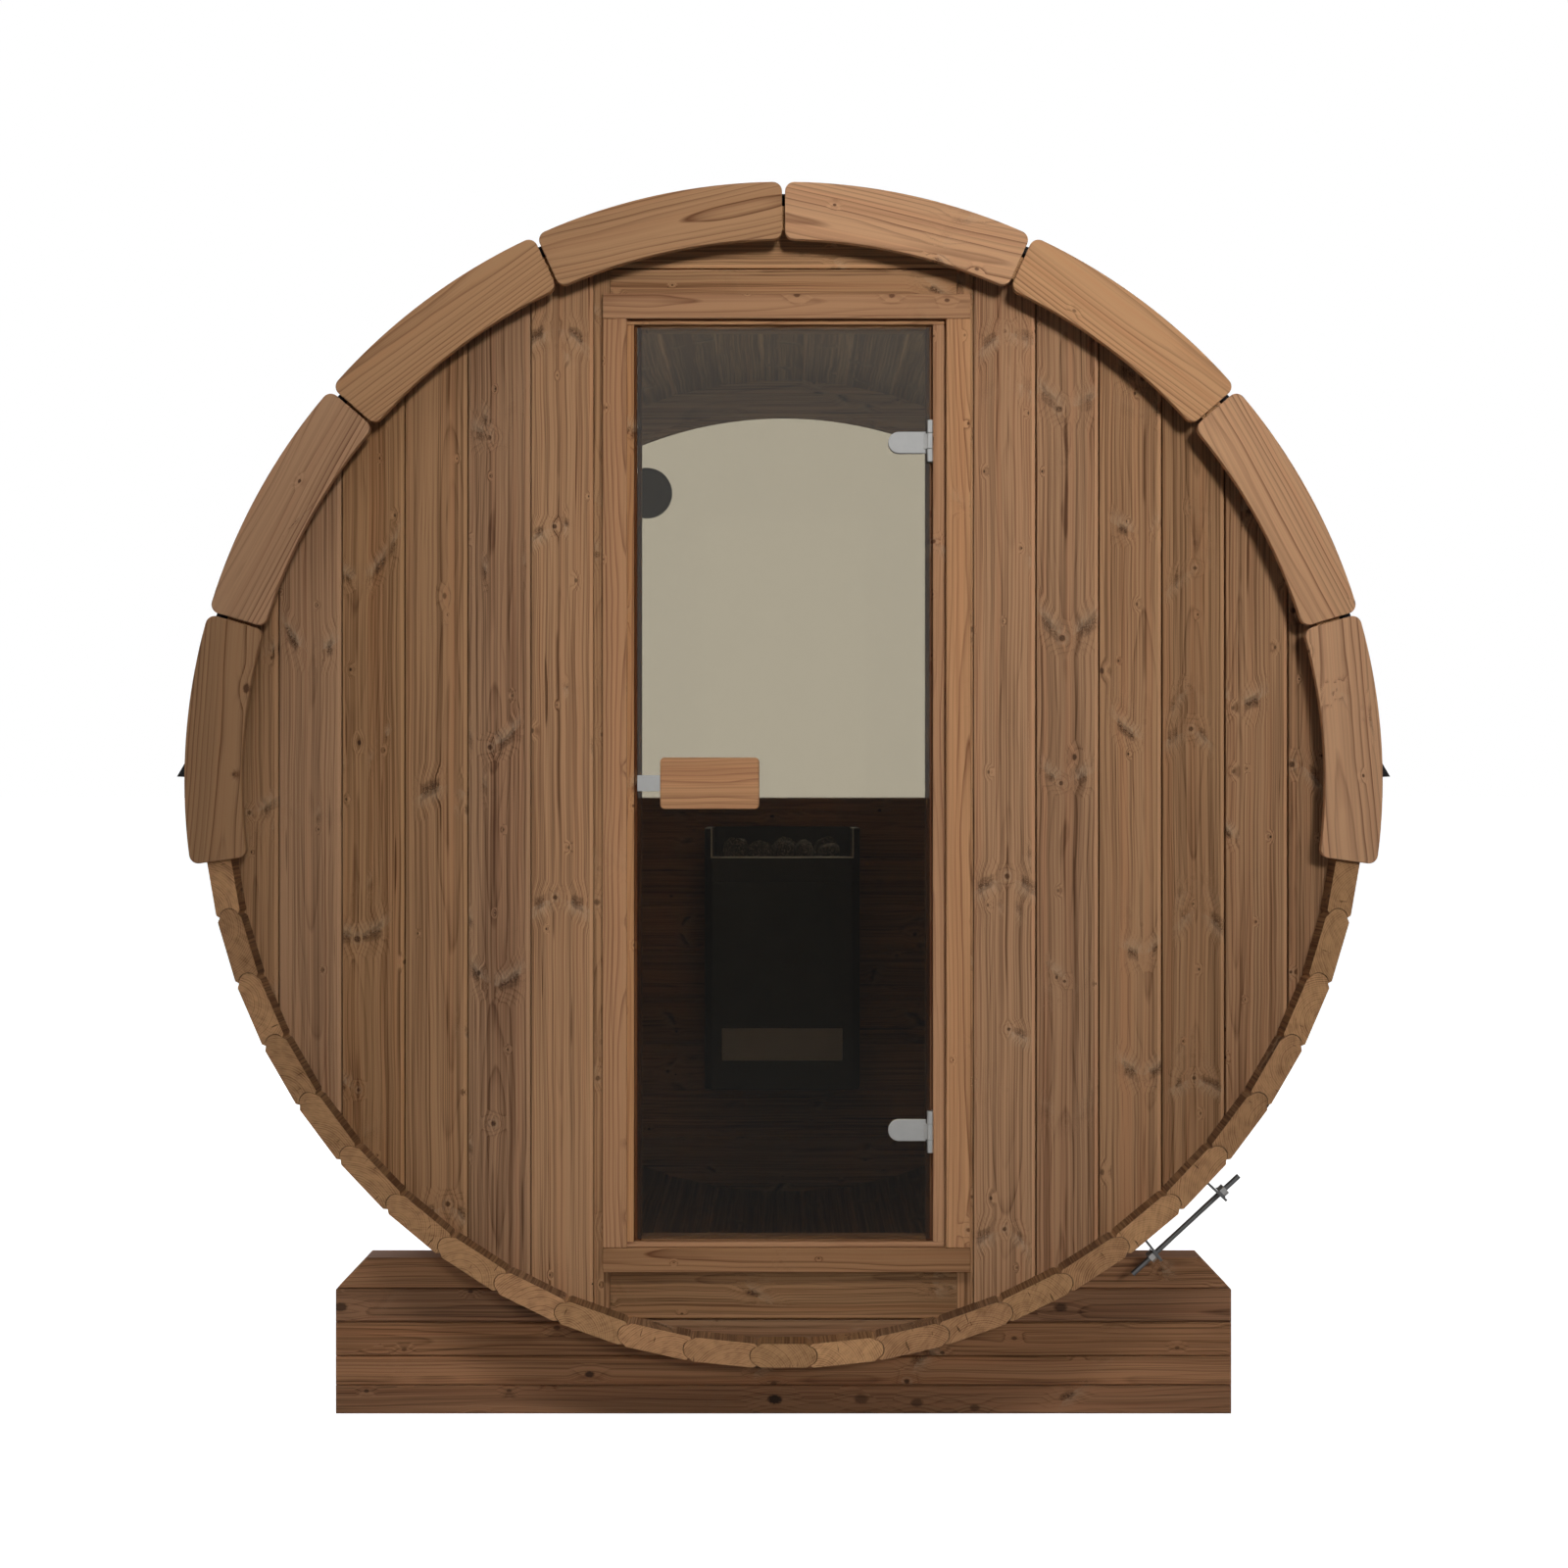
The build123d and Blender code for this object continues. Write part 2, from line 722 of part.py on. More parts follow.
with BuildPart() as rear_wall_lower:
    with BuildSketch(Plane.YZ):
        with Locations(((rear_wall_back + rear_wall_face) / 2, (rear_floor + window_bottom) / 2)):
            Rectangle(wall_thickness, window_bottom - rear_floor)
        with Locations((rear_wall_face, window_bottom)):
            Rectangle(2 * (wall_thickness - window_face), 2 * rebate_width, mode=Mode.SUBTRACT)
        for seam in rear_seams:
            add(level_cut(board_reveal(-seam, rear_wall_face, -1)), mode=Mode.SUBTRACT)
            add(level_cut(back_groove(-seam, rear_wall_back, 1)), mode=Mode.SUBTRACT)
    extrude(amount=wall_radius, both=True)
    add(end_wall_round.part, mode=Mode.INTERSECT)
export_part(rear_wall_lower.part, "rear_wall_lower")


def half_moon(radius, bottom):
    """A half-moon in the ring plane about the window centre, flat along the bottom."""
    with BuildSketch() as moon:
        with Locations((0, window_centre_z - barrel_centre_z)):
            Circle(radius)
        with Locations((0, bottom - barrel_centre_z - radius)):
            Rectangle(3 * radius, 2 * radius, mode=Mode.SUBTRACT)
    return moon.sketch


# Arched band of wall over the window, rebated from outside for the pane
with BuildPart() as rear_wall_upper:
    with BuildSketch(ring_plane.offset(-rear_wall_face)):
        Circle(wall_radius)
        with Locations((0, window_bottom + fit_gap - barrel_centre_z - wall_radius)):
            Rectangle(3 * wall_radius, 2 * wall_radius, mode=Mode.SUBTRACT)
        add(half_moon(window_radius, window_bottom), mode=Mode.SUBTRACT)
    extrude(amount=wall_thickness)
    with BuildSketch(ring_plane.offset(-rear_wall_face - cut_overrun)):
        add(half_moon(rebate_radius, rebate_bottom - cut_overrun))
    extrude(amount=wall_thickness - window_face + cut_overrun, mode=Mode.SUBTRACT)
export_part(rear_wall_upper.part, "rear_wall_upper")

# Pane in the rebate, drilled for the vent stem
with BuildPart() as window_glass:
    with BuildSketch(ring_plane.offset(-pane_back)):
        add(half_moon(rebate_radius - fit_gap, rebate_bottom + fit_gap))
        with Locations((vent_x, vent_z - barrel_centre_z)):
            Circle(vent_stem_radius + bolt_clearance, mode=Mode.SUBTRACT)
    extrude(amount=window_glass_thickness)
export_part(window_glass.part, "window_glass")

# Glazing bead that holds the pane from outside
with BuildPart() as window_frame:
    with BuildSketch(ring_plane.offset(-rear_wall_face - bead_proud)):
        add(half_moon(rebate_radius - fit_gap, rebate_bottom + fit_gap))
        add(half_moon(window_radius, window_bottom), mode=Mode.SUBTRACT)
    extrude(amount=rear_wall_face + bead_proud - pane_back - fit_gap)
export_part(window_frame.part, "window_frame")

# Round air vent through the pane
with BuildPart() as window_vent:
    for radius, near, far in (
        (vent_radius, pane_front - fit_gap - vent_thickness, pane_front - fit_gap),
        (vent_stem_radius, pane_front - cut_overrun, pane_back + cut_overrun),
        (vent_cover_radius, pane_back + fit_gap, pane_back + fit_gap + vent_cover_thickness),
    ):
        with BuildSketch(ring_plane.offset(-far)):
            with Locations((vent_x, vent_z - barrel_centre_z)):
                Circle(radius)
        extrude(amount=far - near)
export_part(window_vent.part, "window_vent")

# Heater: a folded casing with an open stone tray, hung on the rear wall
with BuildPart() as heater_body:
    with BuildSketch(Plane.XY.offset(heater_bottom)):
        with Locations((heater_centre_x, heater_middle_y)):
            Rectangle(heater_width, heater_depth)
    extrude(amount=heater_top - heater_bottom)
    front_edges = heater_body.edges().filter_by(Axis.Z).sort_by(Axis.Y)[:2]
    chamfer(front_edges, heater_corner)
    with BuildSketch(Plane.XY.offset(tray_floor_z)):
        with Locations((heater_centre_x, heater_middle_y)):
            Rectangle(heater_width - 2 * heater_corner, heater_depth - 2 * heater_sheet)
    extrude(amount=tray_depth, mode=Mode.SUBTRACT)
    with BuildSketch(Plane.XZ.offset(-heater_middle_y)):
        with Locations((heater_centre_x, heater_top - tray_front_drop / 2)):
            Rectangle(heater_width - 2 * tray_cheek, tray_front_drop)
    extrude(amount=heater_depth, mode=Mode.SUBTRACT)
export_part(heater_body.part, "heater_body")

with BuildPart() as heater_panel:
    with BuildSketch(Plane.XZ.offset(-heater_front_y + fit_gap)):
        with Locations((heater_centre_x, heater_bottom + panel_rise + panel_height / 2)):
            Rectangle(heater_width - 2 * panel_margin, panel_height)
    extrude(amount=panel_thickness)
export_part(heater_panel.part, "heater_panel")

# Heap of broken stones standing on the tray floor
with BuildPart() as heater_stones:
    for layer in range(2):
        layer_bottom = tray_floor_z + fit_gap + layer * stone_layer_rise * stone_size
        for row in range(stone_rows - layer):
            for column in range(stone_columns - layer):
                turn = stone_turn * (row + 2 * column + 3 * layer)
                x = heater_centre_x + (column - (stone_columns - layer - 1) / 2) * stone_pitch
                y = heater_middle_y + (row - (stone_rows - layer - 1) / 2) * stone_pitch
                size = stone_size * (1 + stone_size_swing * math.sin(turn))
                with BuildSketch(Plane((x, y, layer_bottom))):
                    RegularPolygon(size / 2, 6, rotation=turn)
                extrude(amount=size, taper=stone_taper)
export_part(heater_stones.part, "heater_stones")


def cradle(middle_y, name):
    """A cradle of level boards, sawn to the barrel and chamfered at its top corners."""
    half = cradle_width / 2
    with BuildPart() as timber:
        with BuildSketch(Plane.XZ.offset(-middle_y)):
            with BuildLine():
                Polyline(
                    (-half, 0),
                    (half, 0),
                    (half, cradle_height - cradle_chamfer_high),
                    (half - cradle_chamfer_wide, cradle_height),
                    (-half + cradle_chamfer_wide, cradle_height),
                    (-half, cradle_height - cradle_chamfer_high),
                    close=True,
                )
            make_face()
            with Locations((0, barrel_centre_z)):
                Circle(cradle_seat_radius, mode=Mode.SUBTRACT)
        extrude(amount=cradle_thickness / 2, both=True)
        for seam in cradle_seams:
            for side in (-1, 1):
                face_y = middle_y + side * cradle_thickness / 2
                with BuildSketch(Plane.YZ):
                    with BuildLine():
                        Polyline(
                            (face_y + side * cut_overrun, seam - cradle_seam_depth),
                            (face_y - side * cradle_seam_depth, seam),
                            (face_y + side * cut_overrun, seam + cradle_seam_depth),
                            close=True,
                        )
                    make_face()
                extrude(amount=half, both=True, mode=Mode.SUBTRACT)
    export_part(timber.part, name)


cradle(cradle_middle_y, "cradle_front")
cradle(-cradle_middle_y, "cradle_rear")


def ring_sector(inner, outer, start, end, corner_setbacks=()):
    """Part of a ring between two angles from the bottom, its corners eased by one cut per setback."""
    middle = (start + end) / 2
    with BuildSketch() as sector:
        with BuildLine():
            ThreePointArc(on_ray(start, outer), on_ray(middle, outer), on_ray(end, outer))
            Line(on_ray(end, outer), on_ray(end, inner))
            ThreePointArc(on_ray(end, inner), on_ray(middle, inner), on_ray(start, inner))
            Line(on_ray(start, inner), on_ray(start, outer))
        make_face()
        for setback in corner_setbacks:
            chamfer(sector.vertices(), setback)
    return sector.sketch


def face_radius(angle, apothem):
    """Distance from the ring's middle to a side stave's flat face in one direction."""
    offset = (angle - first_half) % stave_pitch - half_pitch
    return apothem / math.cos(math.radians(offset))


def band_outline(gain):
    """Points of the strap's path over the stave faces, from the upper tab round to the lower one."""
    corner_radius = (band_apothem + gain) / pitch_cosine
    far_angle = tab_lower_angle + 360
    turns = [a if a > tab_upper_angle else a + 360 for a in joint_angles()]
    turns = sorted(a for a in turns if tab_upper_angle < a < far_angle)
    start = on_ray(tab_upper_angle, face_radius(tab_upper_angle, band_apothem + gain))
    end = on_ray(tab_lower_angle, face_radius(tab_lower_angle, band_apothem + gain))
    return [start] + [on_ray(a, corner_radius) for a in turns] + [end]


def band(middle_y):
    """Steel strap round the barrel, its two ends turned out as tabs slotted for the rod."""
    slot_half = rod_radius + bolt_clearance
    with BuildPart() as strap:
        with BuildSketch(ring_plane.offset(-middle_y)):
            Polygon(*band_outline(0), *reversed(band_outline(band_thickness)), align=None)
            for angle in (tab_upper_angle, tab_lower_angle):
                middle_radius = face_radius(angle, band_apothem) + tab_height / 2
                with Locations(Location(on_ray(angle, middle_radius), angle)):
                    Rectangle(tab_thickness, tab_height)
        extrude(amount=band_width / 2, both=True)
        with BuildSketch(rod_plane(middle_y)):
            with Locations((0, slot_half - tab_height / 2)):
                Rectangle(2 * slot_half, tab_height)
        extrude(amount=rod_half_length, both=True, mode=Mode.SUBTRACT)
    return strap.part


def rod_plane(middle_y):
    """The plane across the middle of the tensioner rod."""
    angle = (tab_upper_angle + tab_lower_angle) / 2
    x, z = on_ray(angle, rod_offset)
    a = math.radians(angle)
    return Plane(
        (x, middle_y, barrel_centre_z + z), x_dir=(0, 1, 0), z_dir=(math.cos(a), 0, math.sin(a))
    )


def tensioner(middle_y):
    """Rod through the two tabs, drawn with eight sides, and a nut outside each tab."""
    half_spread = math.radians(tab_upper_angle - tab_lower_angle) / 2
    tab_reach = rod_offset * math.tan(half_spread) + tab_thickness
    with BuildPart() as rod:
        with BuildSketch(rod_plane(middle_y)):
            RegularPolygon(rod_radius, 8)
        extrude(amount=rod_half_length, both=True)
        for side in (-1, 1):
            with BuildSketch(rod_plane(middle_y).offset(side * tab_reach)):
                RegularPolygon(nut_radius, 6)
            extrude(amount=side * nut_height)
    return rod.part


def band_pad(middle_y):
    """Rubber pad over the strap above the tensioner."""
    inner = (band_apothem + band_thickness) / pitch_cosine + fit_gap
    with BuildPart() as pad:
        with BuildSketch(ring_plane.offset(-middle_y)):
            add(ring_sector(inner, inner + pad_thickness, pad_start_angle, pad_end_angle))
        extrude(amount=band_width / 2, both=True)
    return pad.part


for make_piece, name in ((band, "bands"), (tensioner, "band_tensioners"), (band_pad, "band_pads")):
    with BuildPart() as pair:
        for middle_y in (band_y, -band_y):
            add(make_piece(middle_y))
    export_part(pair.part, name)


def course_inner(step_angle):
    """Inner radius of a lapped course at an angle above its lower edge."""
    return roof_base_radius + shingle_step * (2 - step_angle / shingle_exposure)


def shingle_course(index):
    """One lapped course on the right, two exposures deep, tilted so the next can lie on it."""
    start = roof_start_angle + index * shingle_exposure
    span = min(2 * shingle_exposure, 90 - crown_gap_angle - start)
    steps = (0, span / 2, span)
    inner = [top_ray(start + s, course_inner(s)) for s in steps]
    outer = [top_ray(start + s, course_inner(s) + shingle_thickness) for s in steps]
    with BuildSketch() as course:
        with BuildLine():
            ThreePointArc(*outer)
            Line(outer[2], inner[2])
            ThreePointArc(inner[2], inner[1], inner[0])
            Line(inner[0], outer[0])
        make_face()
    return course.sketch


def roof_courses(parity, right):
    """Every second course on one side, so that the solids in a node stay apart."""
    with BuildSketch() as courses:
        for index in range(parity, shingle_courses, 2):
            add(shingle_course(index))
    return courses.sketch if right else courses.sketch.mirror(Plane.YZ)


for side_name, right in (("right", True), ("left", False)):
    for parity, word in ((0, "even"), (1, "odd")):
        with BuildPart() as courses:
            with BuildSketch(ring_plane):
                add(roof_courses(parity, right))
            extrude(amount=barrel_length / 2, both=True)
        export_part(courses.part, "roof_" + side_name + "_" + word)

# Ridge cap over the two top courses
ridge_edge = roof_base_radius + 2 * shingle_step
ridge_reach = 90 - roof_start_angle - (shingle_courses - 1) * shingle_exposure
ridge_crown = course_inner(ridge_reach) + shingle_step
ridge_quarter = (ridge_edge + ridge_crown) / 2
with BuildPart() as roof_ridge:
    with BuildSketch(ring_plane):
        with BuildLine():
            for side in (-1, 1):
                for gain in (0, shingle_thickness):
                    ThreePointArc(
                        top_ray(90 + side * ridge_half_angle, ridge_edge + gain),
                        top_ray(90 + side * ridge_half_angle / 2, ridge_quarter + gain),
                        top_ray(90, ridge_crown + gain),
                    )
                Line(
                    top_ray(90 + side * ridge_half_angle, ridge_edge),
                    top_ray(90 + side * ridge_half_angle, ridge_edge + shingle_thickness),
                )
        make_face()
    extrude(amount=barrel_length / 2, both=True)
export_part(roof_ridge.part, "roof_ridge")

# Drip edges under the lowest courses
eaves_top_angle = roof_start_angle - 2 * crown_gap_angle
eaves_tip_x = roof_outer_radius + eaves_overhang
eaves_bottom_angle = math.degrees(math.asin(eaves_rise / roof_base_radius))
with BuildPart() as roof_eaves:
    with BuildSketch(ring_plane):
        with BuildLine():
            eaves_tip = (eaves_tip_x, eaves_rise + eaves_tip_rise)
            Line(top_ray(eaves_bottom_angle, roof_base_radius), eaves_tip)
            Line(eaves_tip, top_ray(eaves_top_angle, roof_outer_radius))
            Line(top_ray(eaves_top_angle, roof_outer_radius), top_ray(eaves_top_angle, roof_base_radius))
            ThreePointArc(
                top_ray(eaves_top_angle, roof_base_radius),
                top_ray((eaves_top_angle + eaves_bottom_angle) / 2, roof_base_radius),
                top_ray(eaves_bottom_angle, roof_base_radius),
            )
        make_face()
        mirror(about=Plane.YZ)
    extrude(amount=barrel_length / 2, both=True)
export_part(roof_eaves.part, "roof_eaves")


def trim_boards(face_y, name):
    """Curved boards with rounded corners round the upper part of one end of the barrel."""
    trim_plane = Plane((0, face_y, trim_centre_z), x_dir=(1, 0, 0), z_dir=(0, -1, 0))
    half_gap = math.degrees(trim_gap / (trim_outer_radius + trim_inner_radius))
    with BuildPart() as boards:
        with BuildSketch(trim_plane):
            for rank in range(-trims_per_side, trims_per_side):
                low = 180 + rank * trim_piece_angle + half_gap
                high = 180 + (rank + 1) * trim_piece_angle - half_gap
                add(ring_sector(trim_inner_radius, trim_outer_radius, low, high, trim_corners))
        extrude(amount=trim_thickness)
    export_part(boards.part, name)


front_trim_y = -barrel_length / 2 - fit_gap
rear_trim_y = barrel_length / 2 + fit_gap + trim_thickness
trim_boards(front_trim_y, "front_trim")
trim_boards(rear_trim_y, "rear_trim")
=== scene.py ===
"""Looks of a barrel sauna: boards with their own grain, tinted glass, steel fittings and a shingle roof.

Metres, +Z up, the door faces -Y. Every board carries two attributes: grain, its place in the log it
was sawn from (along, across and through, measured from the pith), and board, its tone, hue and seed.
"""

import math
import random

import bmesh
import bpy
from mathutils import Matrix, Vector


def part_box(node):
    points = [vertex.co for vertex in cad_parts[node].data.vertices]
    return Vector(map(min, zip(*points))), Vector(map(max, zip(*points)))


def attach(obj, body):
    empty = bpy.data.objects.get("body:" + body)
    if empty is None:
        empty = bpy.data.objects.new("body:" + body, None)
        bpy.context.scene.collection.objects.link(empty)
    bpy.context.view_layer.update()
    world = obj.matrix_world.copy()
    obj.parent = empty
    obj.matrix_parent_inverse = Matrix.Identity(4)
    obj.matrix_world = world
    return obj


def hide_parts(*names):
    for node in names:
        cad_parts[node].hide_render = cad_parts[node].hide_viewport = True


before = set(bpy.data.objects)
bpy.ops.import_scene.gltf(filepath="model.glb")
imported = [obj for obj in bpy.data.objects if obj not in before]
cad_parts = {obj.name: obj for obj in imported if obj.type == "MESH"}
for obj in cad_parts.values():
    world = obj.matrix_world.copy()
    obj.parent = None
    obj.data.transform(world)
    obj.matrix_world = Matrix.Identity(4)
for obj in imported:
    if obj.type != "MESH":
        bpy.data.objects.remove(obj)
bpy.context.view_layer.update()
draws = random.Random(31)

MM = 0.001
PLAY = 0.2 * MM

# Sizes read from the frame
STAVE_NODES = [
    place + "_staves_" + word for place in ("floor", "left", "right", "roof") for word in ("even", "odd")
]
ring_low = min(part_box(name)[0].z for name in STAVE_NODES)
ring_high = max(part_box(name)[1].z for name in STAVE_NODES)
RING_Z = (ring_low + ring_high) / 2
APOTHEM = (ring_high - ring_low) / 2
HALF_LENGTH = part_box("roof_staves_even")[1].y

# Stave ring: angles in degrees from the bottom
THICKNESS = 42 * MM
INNER_APOTHEM = APOTHEM - THICKNESS
PITCH = 6.75
SIDE_STAVES = 25
BEAD_RISE = 13 * MM
FIRST_HALF = PITCH / 2 - math.degrees(BEAD_RISE / (APOTHEM - THICKNESS / 2))
SIDE_TOP = FIRST_HALF + SIDE_STAVES * PITCH
CLOSING_PITCH = (360 - 2 * SIDE_TOP) / 3
LAST_STAVE = SIDE_STAVES + 2
LAST_FLOOR_STAVE = 4
FIRST_ROOF_STAVE = 14
BEAD_SHOULDER = 3.2 * MM
BEAD_STEPS = 14
NOTCH = 6.5 * MM
INNER_NOTCH = 6 * MM
INNER_SHOULDER = 6 * MM
JOINT_CLEARANCE = 0.9 * MM
# Painted shade on the staves' inner faces, set at their two inner corners
PAINTED_INNER_SHADE = -0.7

# End walls
WALL_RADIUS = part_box("rear_wall_upper")[1].x
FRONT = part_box("door_posts")[0].y
FRONT_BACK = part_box("door_posts")[1].y
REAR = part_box("rear_wall_lower")[1].y
REAR_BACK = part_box("rear_wall_lower")[0].y
SEAM_BEVEL = 6 * MM
SEAM_DEPTH = 3.5 * MM
SEAM_GAP = 2.7 * MM
TONGUE = 11 * MM
BOARD_PITCH = 110.7 * MM
BOARD_STEPS = 10
BEVEL_LEAD = 0.6 * MM
CHAMFER_ACROSS = 4 * MM
CHAMFER_DEEP = 3 * MM
BOARDS_BESIDE_DOOR = 6
POST_GAP = 0.4 * MM
# Painted highlight on the bevel: how much paler it is, at its two corners in a board's plan
PAINTED_BEVEL_HIGHLIGHT = {11: 1.2, 12: 1.2}
FAINT_BEVEL_HIGHLIGHT = {11: 0.6, 12: 0.6}
# Painted light and shade on the level boards: the head paler against the shade under the trims, the sill
# darker as painted shadow under the casing
LEVEL_PAINTED_LIGHT_AND_SHADE = {"front_wall_head": 0.9, "front_wall_sill": -1.3}
HEAD_SEAM = 2030 * MM
SILL_SEAM = 184.2 * MM

# Rear window
REBATE = 14 * MM
WINDOW_FACE = 15 * MM
REAR_SEAM_DROP = 32.7 * MM
UPPER_GAP = 0.6 * MM
BEAD_PARTS = 12
VENT_INNER = 0.92
VENT_NECK = 1 / 3
VENT_STEPS = 72

# Trims
TRIM_WIDTH = 99.5 * MM
TRIM_GAP = 5 * MM
TRIM_CORNER = 16 * MM
TRIM_ANGLE = 24.55
TRIM_STEPS = 22
TRIMS_PER_SIDE = 4
TRIM_TONES = (0.4, 0.5, 0.5, 1.7, -1.1, 0.0, 0.0, -1.5)

# Door surround
CASING_TONES = {"casing_head": 0.4, "casing_sill": -1.6, "casing_left": -0.4, "casing_right": 0.0}
DOOR_CLEARANCE = 5 * MM
STOP_DEPTH = 36 * MM
# Painted shade in the door's rebate: how much darker the lining is, at the corners of its stop
STOP_PAINTED_SHADE = {0: -1.0, 7: -1.0, 8: -1.0}
NOSE_EASE = 0.8 * MM
NOSE_LEFT = 275 * MM
NOSE_RIGHT = 281 * MM
NOSE_HEAD = 1936.1 * MM
NOSE_SILL = 313.3 * MM

# Door fittings
HANDLE_CORNER = 8 * MM
HANDLE_THICKNESS = 22 * MM
LATCH_FLAT = 20 * MM
LATCH_THICKNESS = 2.5 * MM
KNUCKLE_RADIUS = 5.7 * MM
KNUCKLE_HEIGHT = 73 * MM
KNUCKLE_MIDDLE = 27.4 * MM
KNUCKLE_PLAY = 0.4 * MM
NECK_LAP = 4 * MM
NECK_HALF = 2.5 * MM
CLAMP_HEIGHT = 38 * MM
CLAMP_THICKNESS = 4 * MM
CLAMP_SETBACK = 7 * MM
CLAMP_BACK_SETBACK = 12.5 * MM
CLAMP_STEPS = 24
LEAF_THICKNESS = 2.2 * MM

# Heater
HEATER_CORNER = 18 * MM
HEATER_SHEET = 8 * MM
TRAY_DEPTH = 124 * MM
TRAY_FRONT_DROP = 65 * MM
RIM_BAR = 4 * MM
PANEL_CORNER = 3 * MM
STONE_LAYERS = ((6, 4), (5, 3))
STONE_SIZES = (24 * MM, 31 * MM)
STONE_RISES = (38 * MM, 50 * MM)
STONE_CUTS = 13
STONE_DEPTHS = (0.5, 0.85)
STONE_STRETCH = (0.9, 1.35)

# Cradles
CRADLE_EASE = 2.4 * MM
CRADLE_GAP = 0.7 * MM
CRADLE_SEAMS = (51.0 * MM, 103.0 * MM, 163.6 * MM, 223.8 * MM)
CHAMFER_WIDE = 54 * MM
CHAMFER_HIGH = 57 * MM
SEAT_RADIUS = APOTHEM + 1.6 * MM
SEAT_STEPS = 12

# Bands
BAND_WIDTH = 30 * MM
BAND_APOTHEM = APOTHEM + PLAY
BAND_THICKNESS = 1.5 * MM
TAB_UPPER = 46.95
TAB_LOWER = 38.6
TAB_THICKNESS = 4.4 * MM
TAB_HEIGHT = 53 * MM
TAB_CORNER = 4 * MM
ROD_OFFSET = APOTHEM + 34.7 * MM
ROD_RADIUS = 5 * MM
ROD_HALF = 127 * MM
ROD_SHANK = 38 * MM
ROD_SLIP = 4 * MM
ROD_SIDES = 20
NUT_RADIUS = 10.5 * MM
NUT_HEIGHT = 10 * MM
WASHER_RADIUS = 12 * MM
WASHER_HEIGHT = 2 * MM
THREAD_PITCH = 1.75 * MM
THREAD_DEPTH = 0.55 * MM
SHANK_DEPTH = 0.45 * MM
PAD_START = 52.1
PAD_END = 57.0
PAD_THICKNESS = 4 * MM
PAD_STEPS = 10

# Roof
SHINGLE = 7 * MM
SHINGLE_LAP = SHINGLE + 0.3 * MM
SHINGLE_STEPS = 10
SHINGLE_LIFT = 0.5 * MM
SHINGLE_DROP = 0.06
SHORTEST_TAB = 50 * MM
ROOF_BASE = (BAND_APOTHEM + BAND_THICKNESS) / math.cos(math.radians(PITCH / 2)) + 0.25 * MM
ROOF_START = 2.95
EXPOSURE = 8.18
COURSES = int((90 - ROOF_START) / EXPOSURE)
ROOF_TOP = 89.95
TABS = 6
SLOT = 7 * MM
RIDGE_LIFT = 3 * MM
RIDGE_CAPS = 9
RIDGE_LAP = 1.18
RIDGE_HALF_STEPS = 8

# Studio and camera
FLOOR_REACH = 232.0
FLOOR_GLOW = 1.0
FLOOR_MIRRORED = 0.08
SKY = 0.06
GLOSS_SKY = 0.75
LIGHTS = {
    "key_light": {"place": (1.9, -13.0, 3.7), "aim": (0.5, -1, 2.3), "size": 1.5, "power": 19, "spread": 25},
    "high_light": {"place": (1.0, -5.0, 6.5), "aim": (0.2, -1, 1.6), "size": 4.0, "power": 25},
    "low_light": {
        "place": (-0.4, -4.5, 4.5),
        "aim": (-0.1, -1.05, 0.1),
        "size": 1.0,
        "power": 2.8,
        "spread": 28,
    },
    "left_light": {"place": (-7.0, 1.5, 4.0), "aim": (0, 0, 1.2), "size": 3.5, "power": 50},
    "fill_light": {"place": (-5.5, -6.5, 3.2), "aim": (0, -1, 1.1), "size": 4.0, "power": 5, "unseen": ()},
    "back_light": {"place": (-3.0, 6.5, 5.0), "aim": (0, 0, 1.2), "size": 3.5, "power": 190, "unseen": ()},
    "side_light": {"place": (7.0, 1.5, 4.0), "aim": (0, 0, 1.2), "size": 3.5, "power": 90, "unseen": ()},
    "room_light": {
        "place": (0, 0, 1.15),
        "aim": (0, 0, 2.1),
        "size": 0.9,
        "power": 7.3,
        "colour": (0.7, 0.92, 1.2),
        "unseen": ("camera", "transmission", "glossy"),
    },
}
LENS = 66.9
SENSOR = 36.0
CAMERA = (0.0, -6.055, 1.125)
HALF_PIXEL = 0.5 / 1600


def tint(red, green, blue):
    """A colour written as screen values, turned into scene values."""
    values = []
    for level in (red, green, blue):
        share = level / 255
        values.append(share / 12.92 if share <= 0.04045 else ((share + 0.055) / 1.055) ** 2.4)
    return (*values, 1.0)


# Grain and finishes
WHORLS = 3.2
WOOD_RING = ((0.0, 0.0), (1.0, 0.05), (0.55, 0.1), (0.8, 0.55), (0.9, 1.0))
END_RING = ((0.0, 0.0), (1.0, 0.1), (0.5, 0.1), (0.85, 1.0))
RED = tint(255, 230, 220)
FAN = tint(186, 158, 128)
KNOT = tint(58, 36, 25)
RUST_KNOT = tint(84, 50, 34)
BLACK_KNOT = tint(30, 20, 16)
RED_KNOT = tint(88, 52, 34)
PALE_KNOT = tint(96, 60, 40)
ENAMEL = (0.8 * MM, 0.05 * MM)


class Signal:
    """A value in a graph of shader nodes: arithmetic on it adds the nodes that work it out."""

    def __init__(self, graph, socket):
        self.graph, self.socket = graph, socket

    def __add__(self, other):
        return self.graph.math("ADD", self, other)

    def __sub__(self, other):
        return self.graph.math("SUBTRACT", self, other)

    def __mul__(self, other):
        return self.graph.math("MULTIPLY", self, other)

    def __truediv__(self, other):
        return self.graph.math("DIVIDE", self, other)

    def __pow__(self, other):
        return self.graph.math("POWER", self, other)

    def __lt__(self, other):
        return self.graph.math("LESS_THAN", self, other)

    def __gt__(self, other):
        return self.graph.math("GREATER_THAN", self, other)

    def __abs__(self):
        return self.graph.math("ABSOLUTE", self)


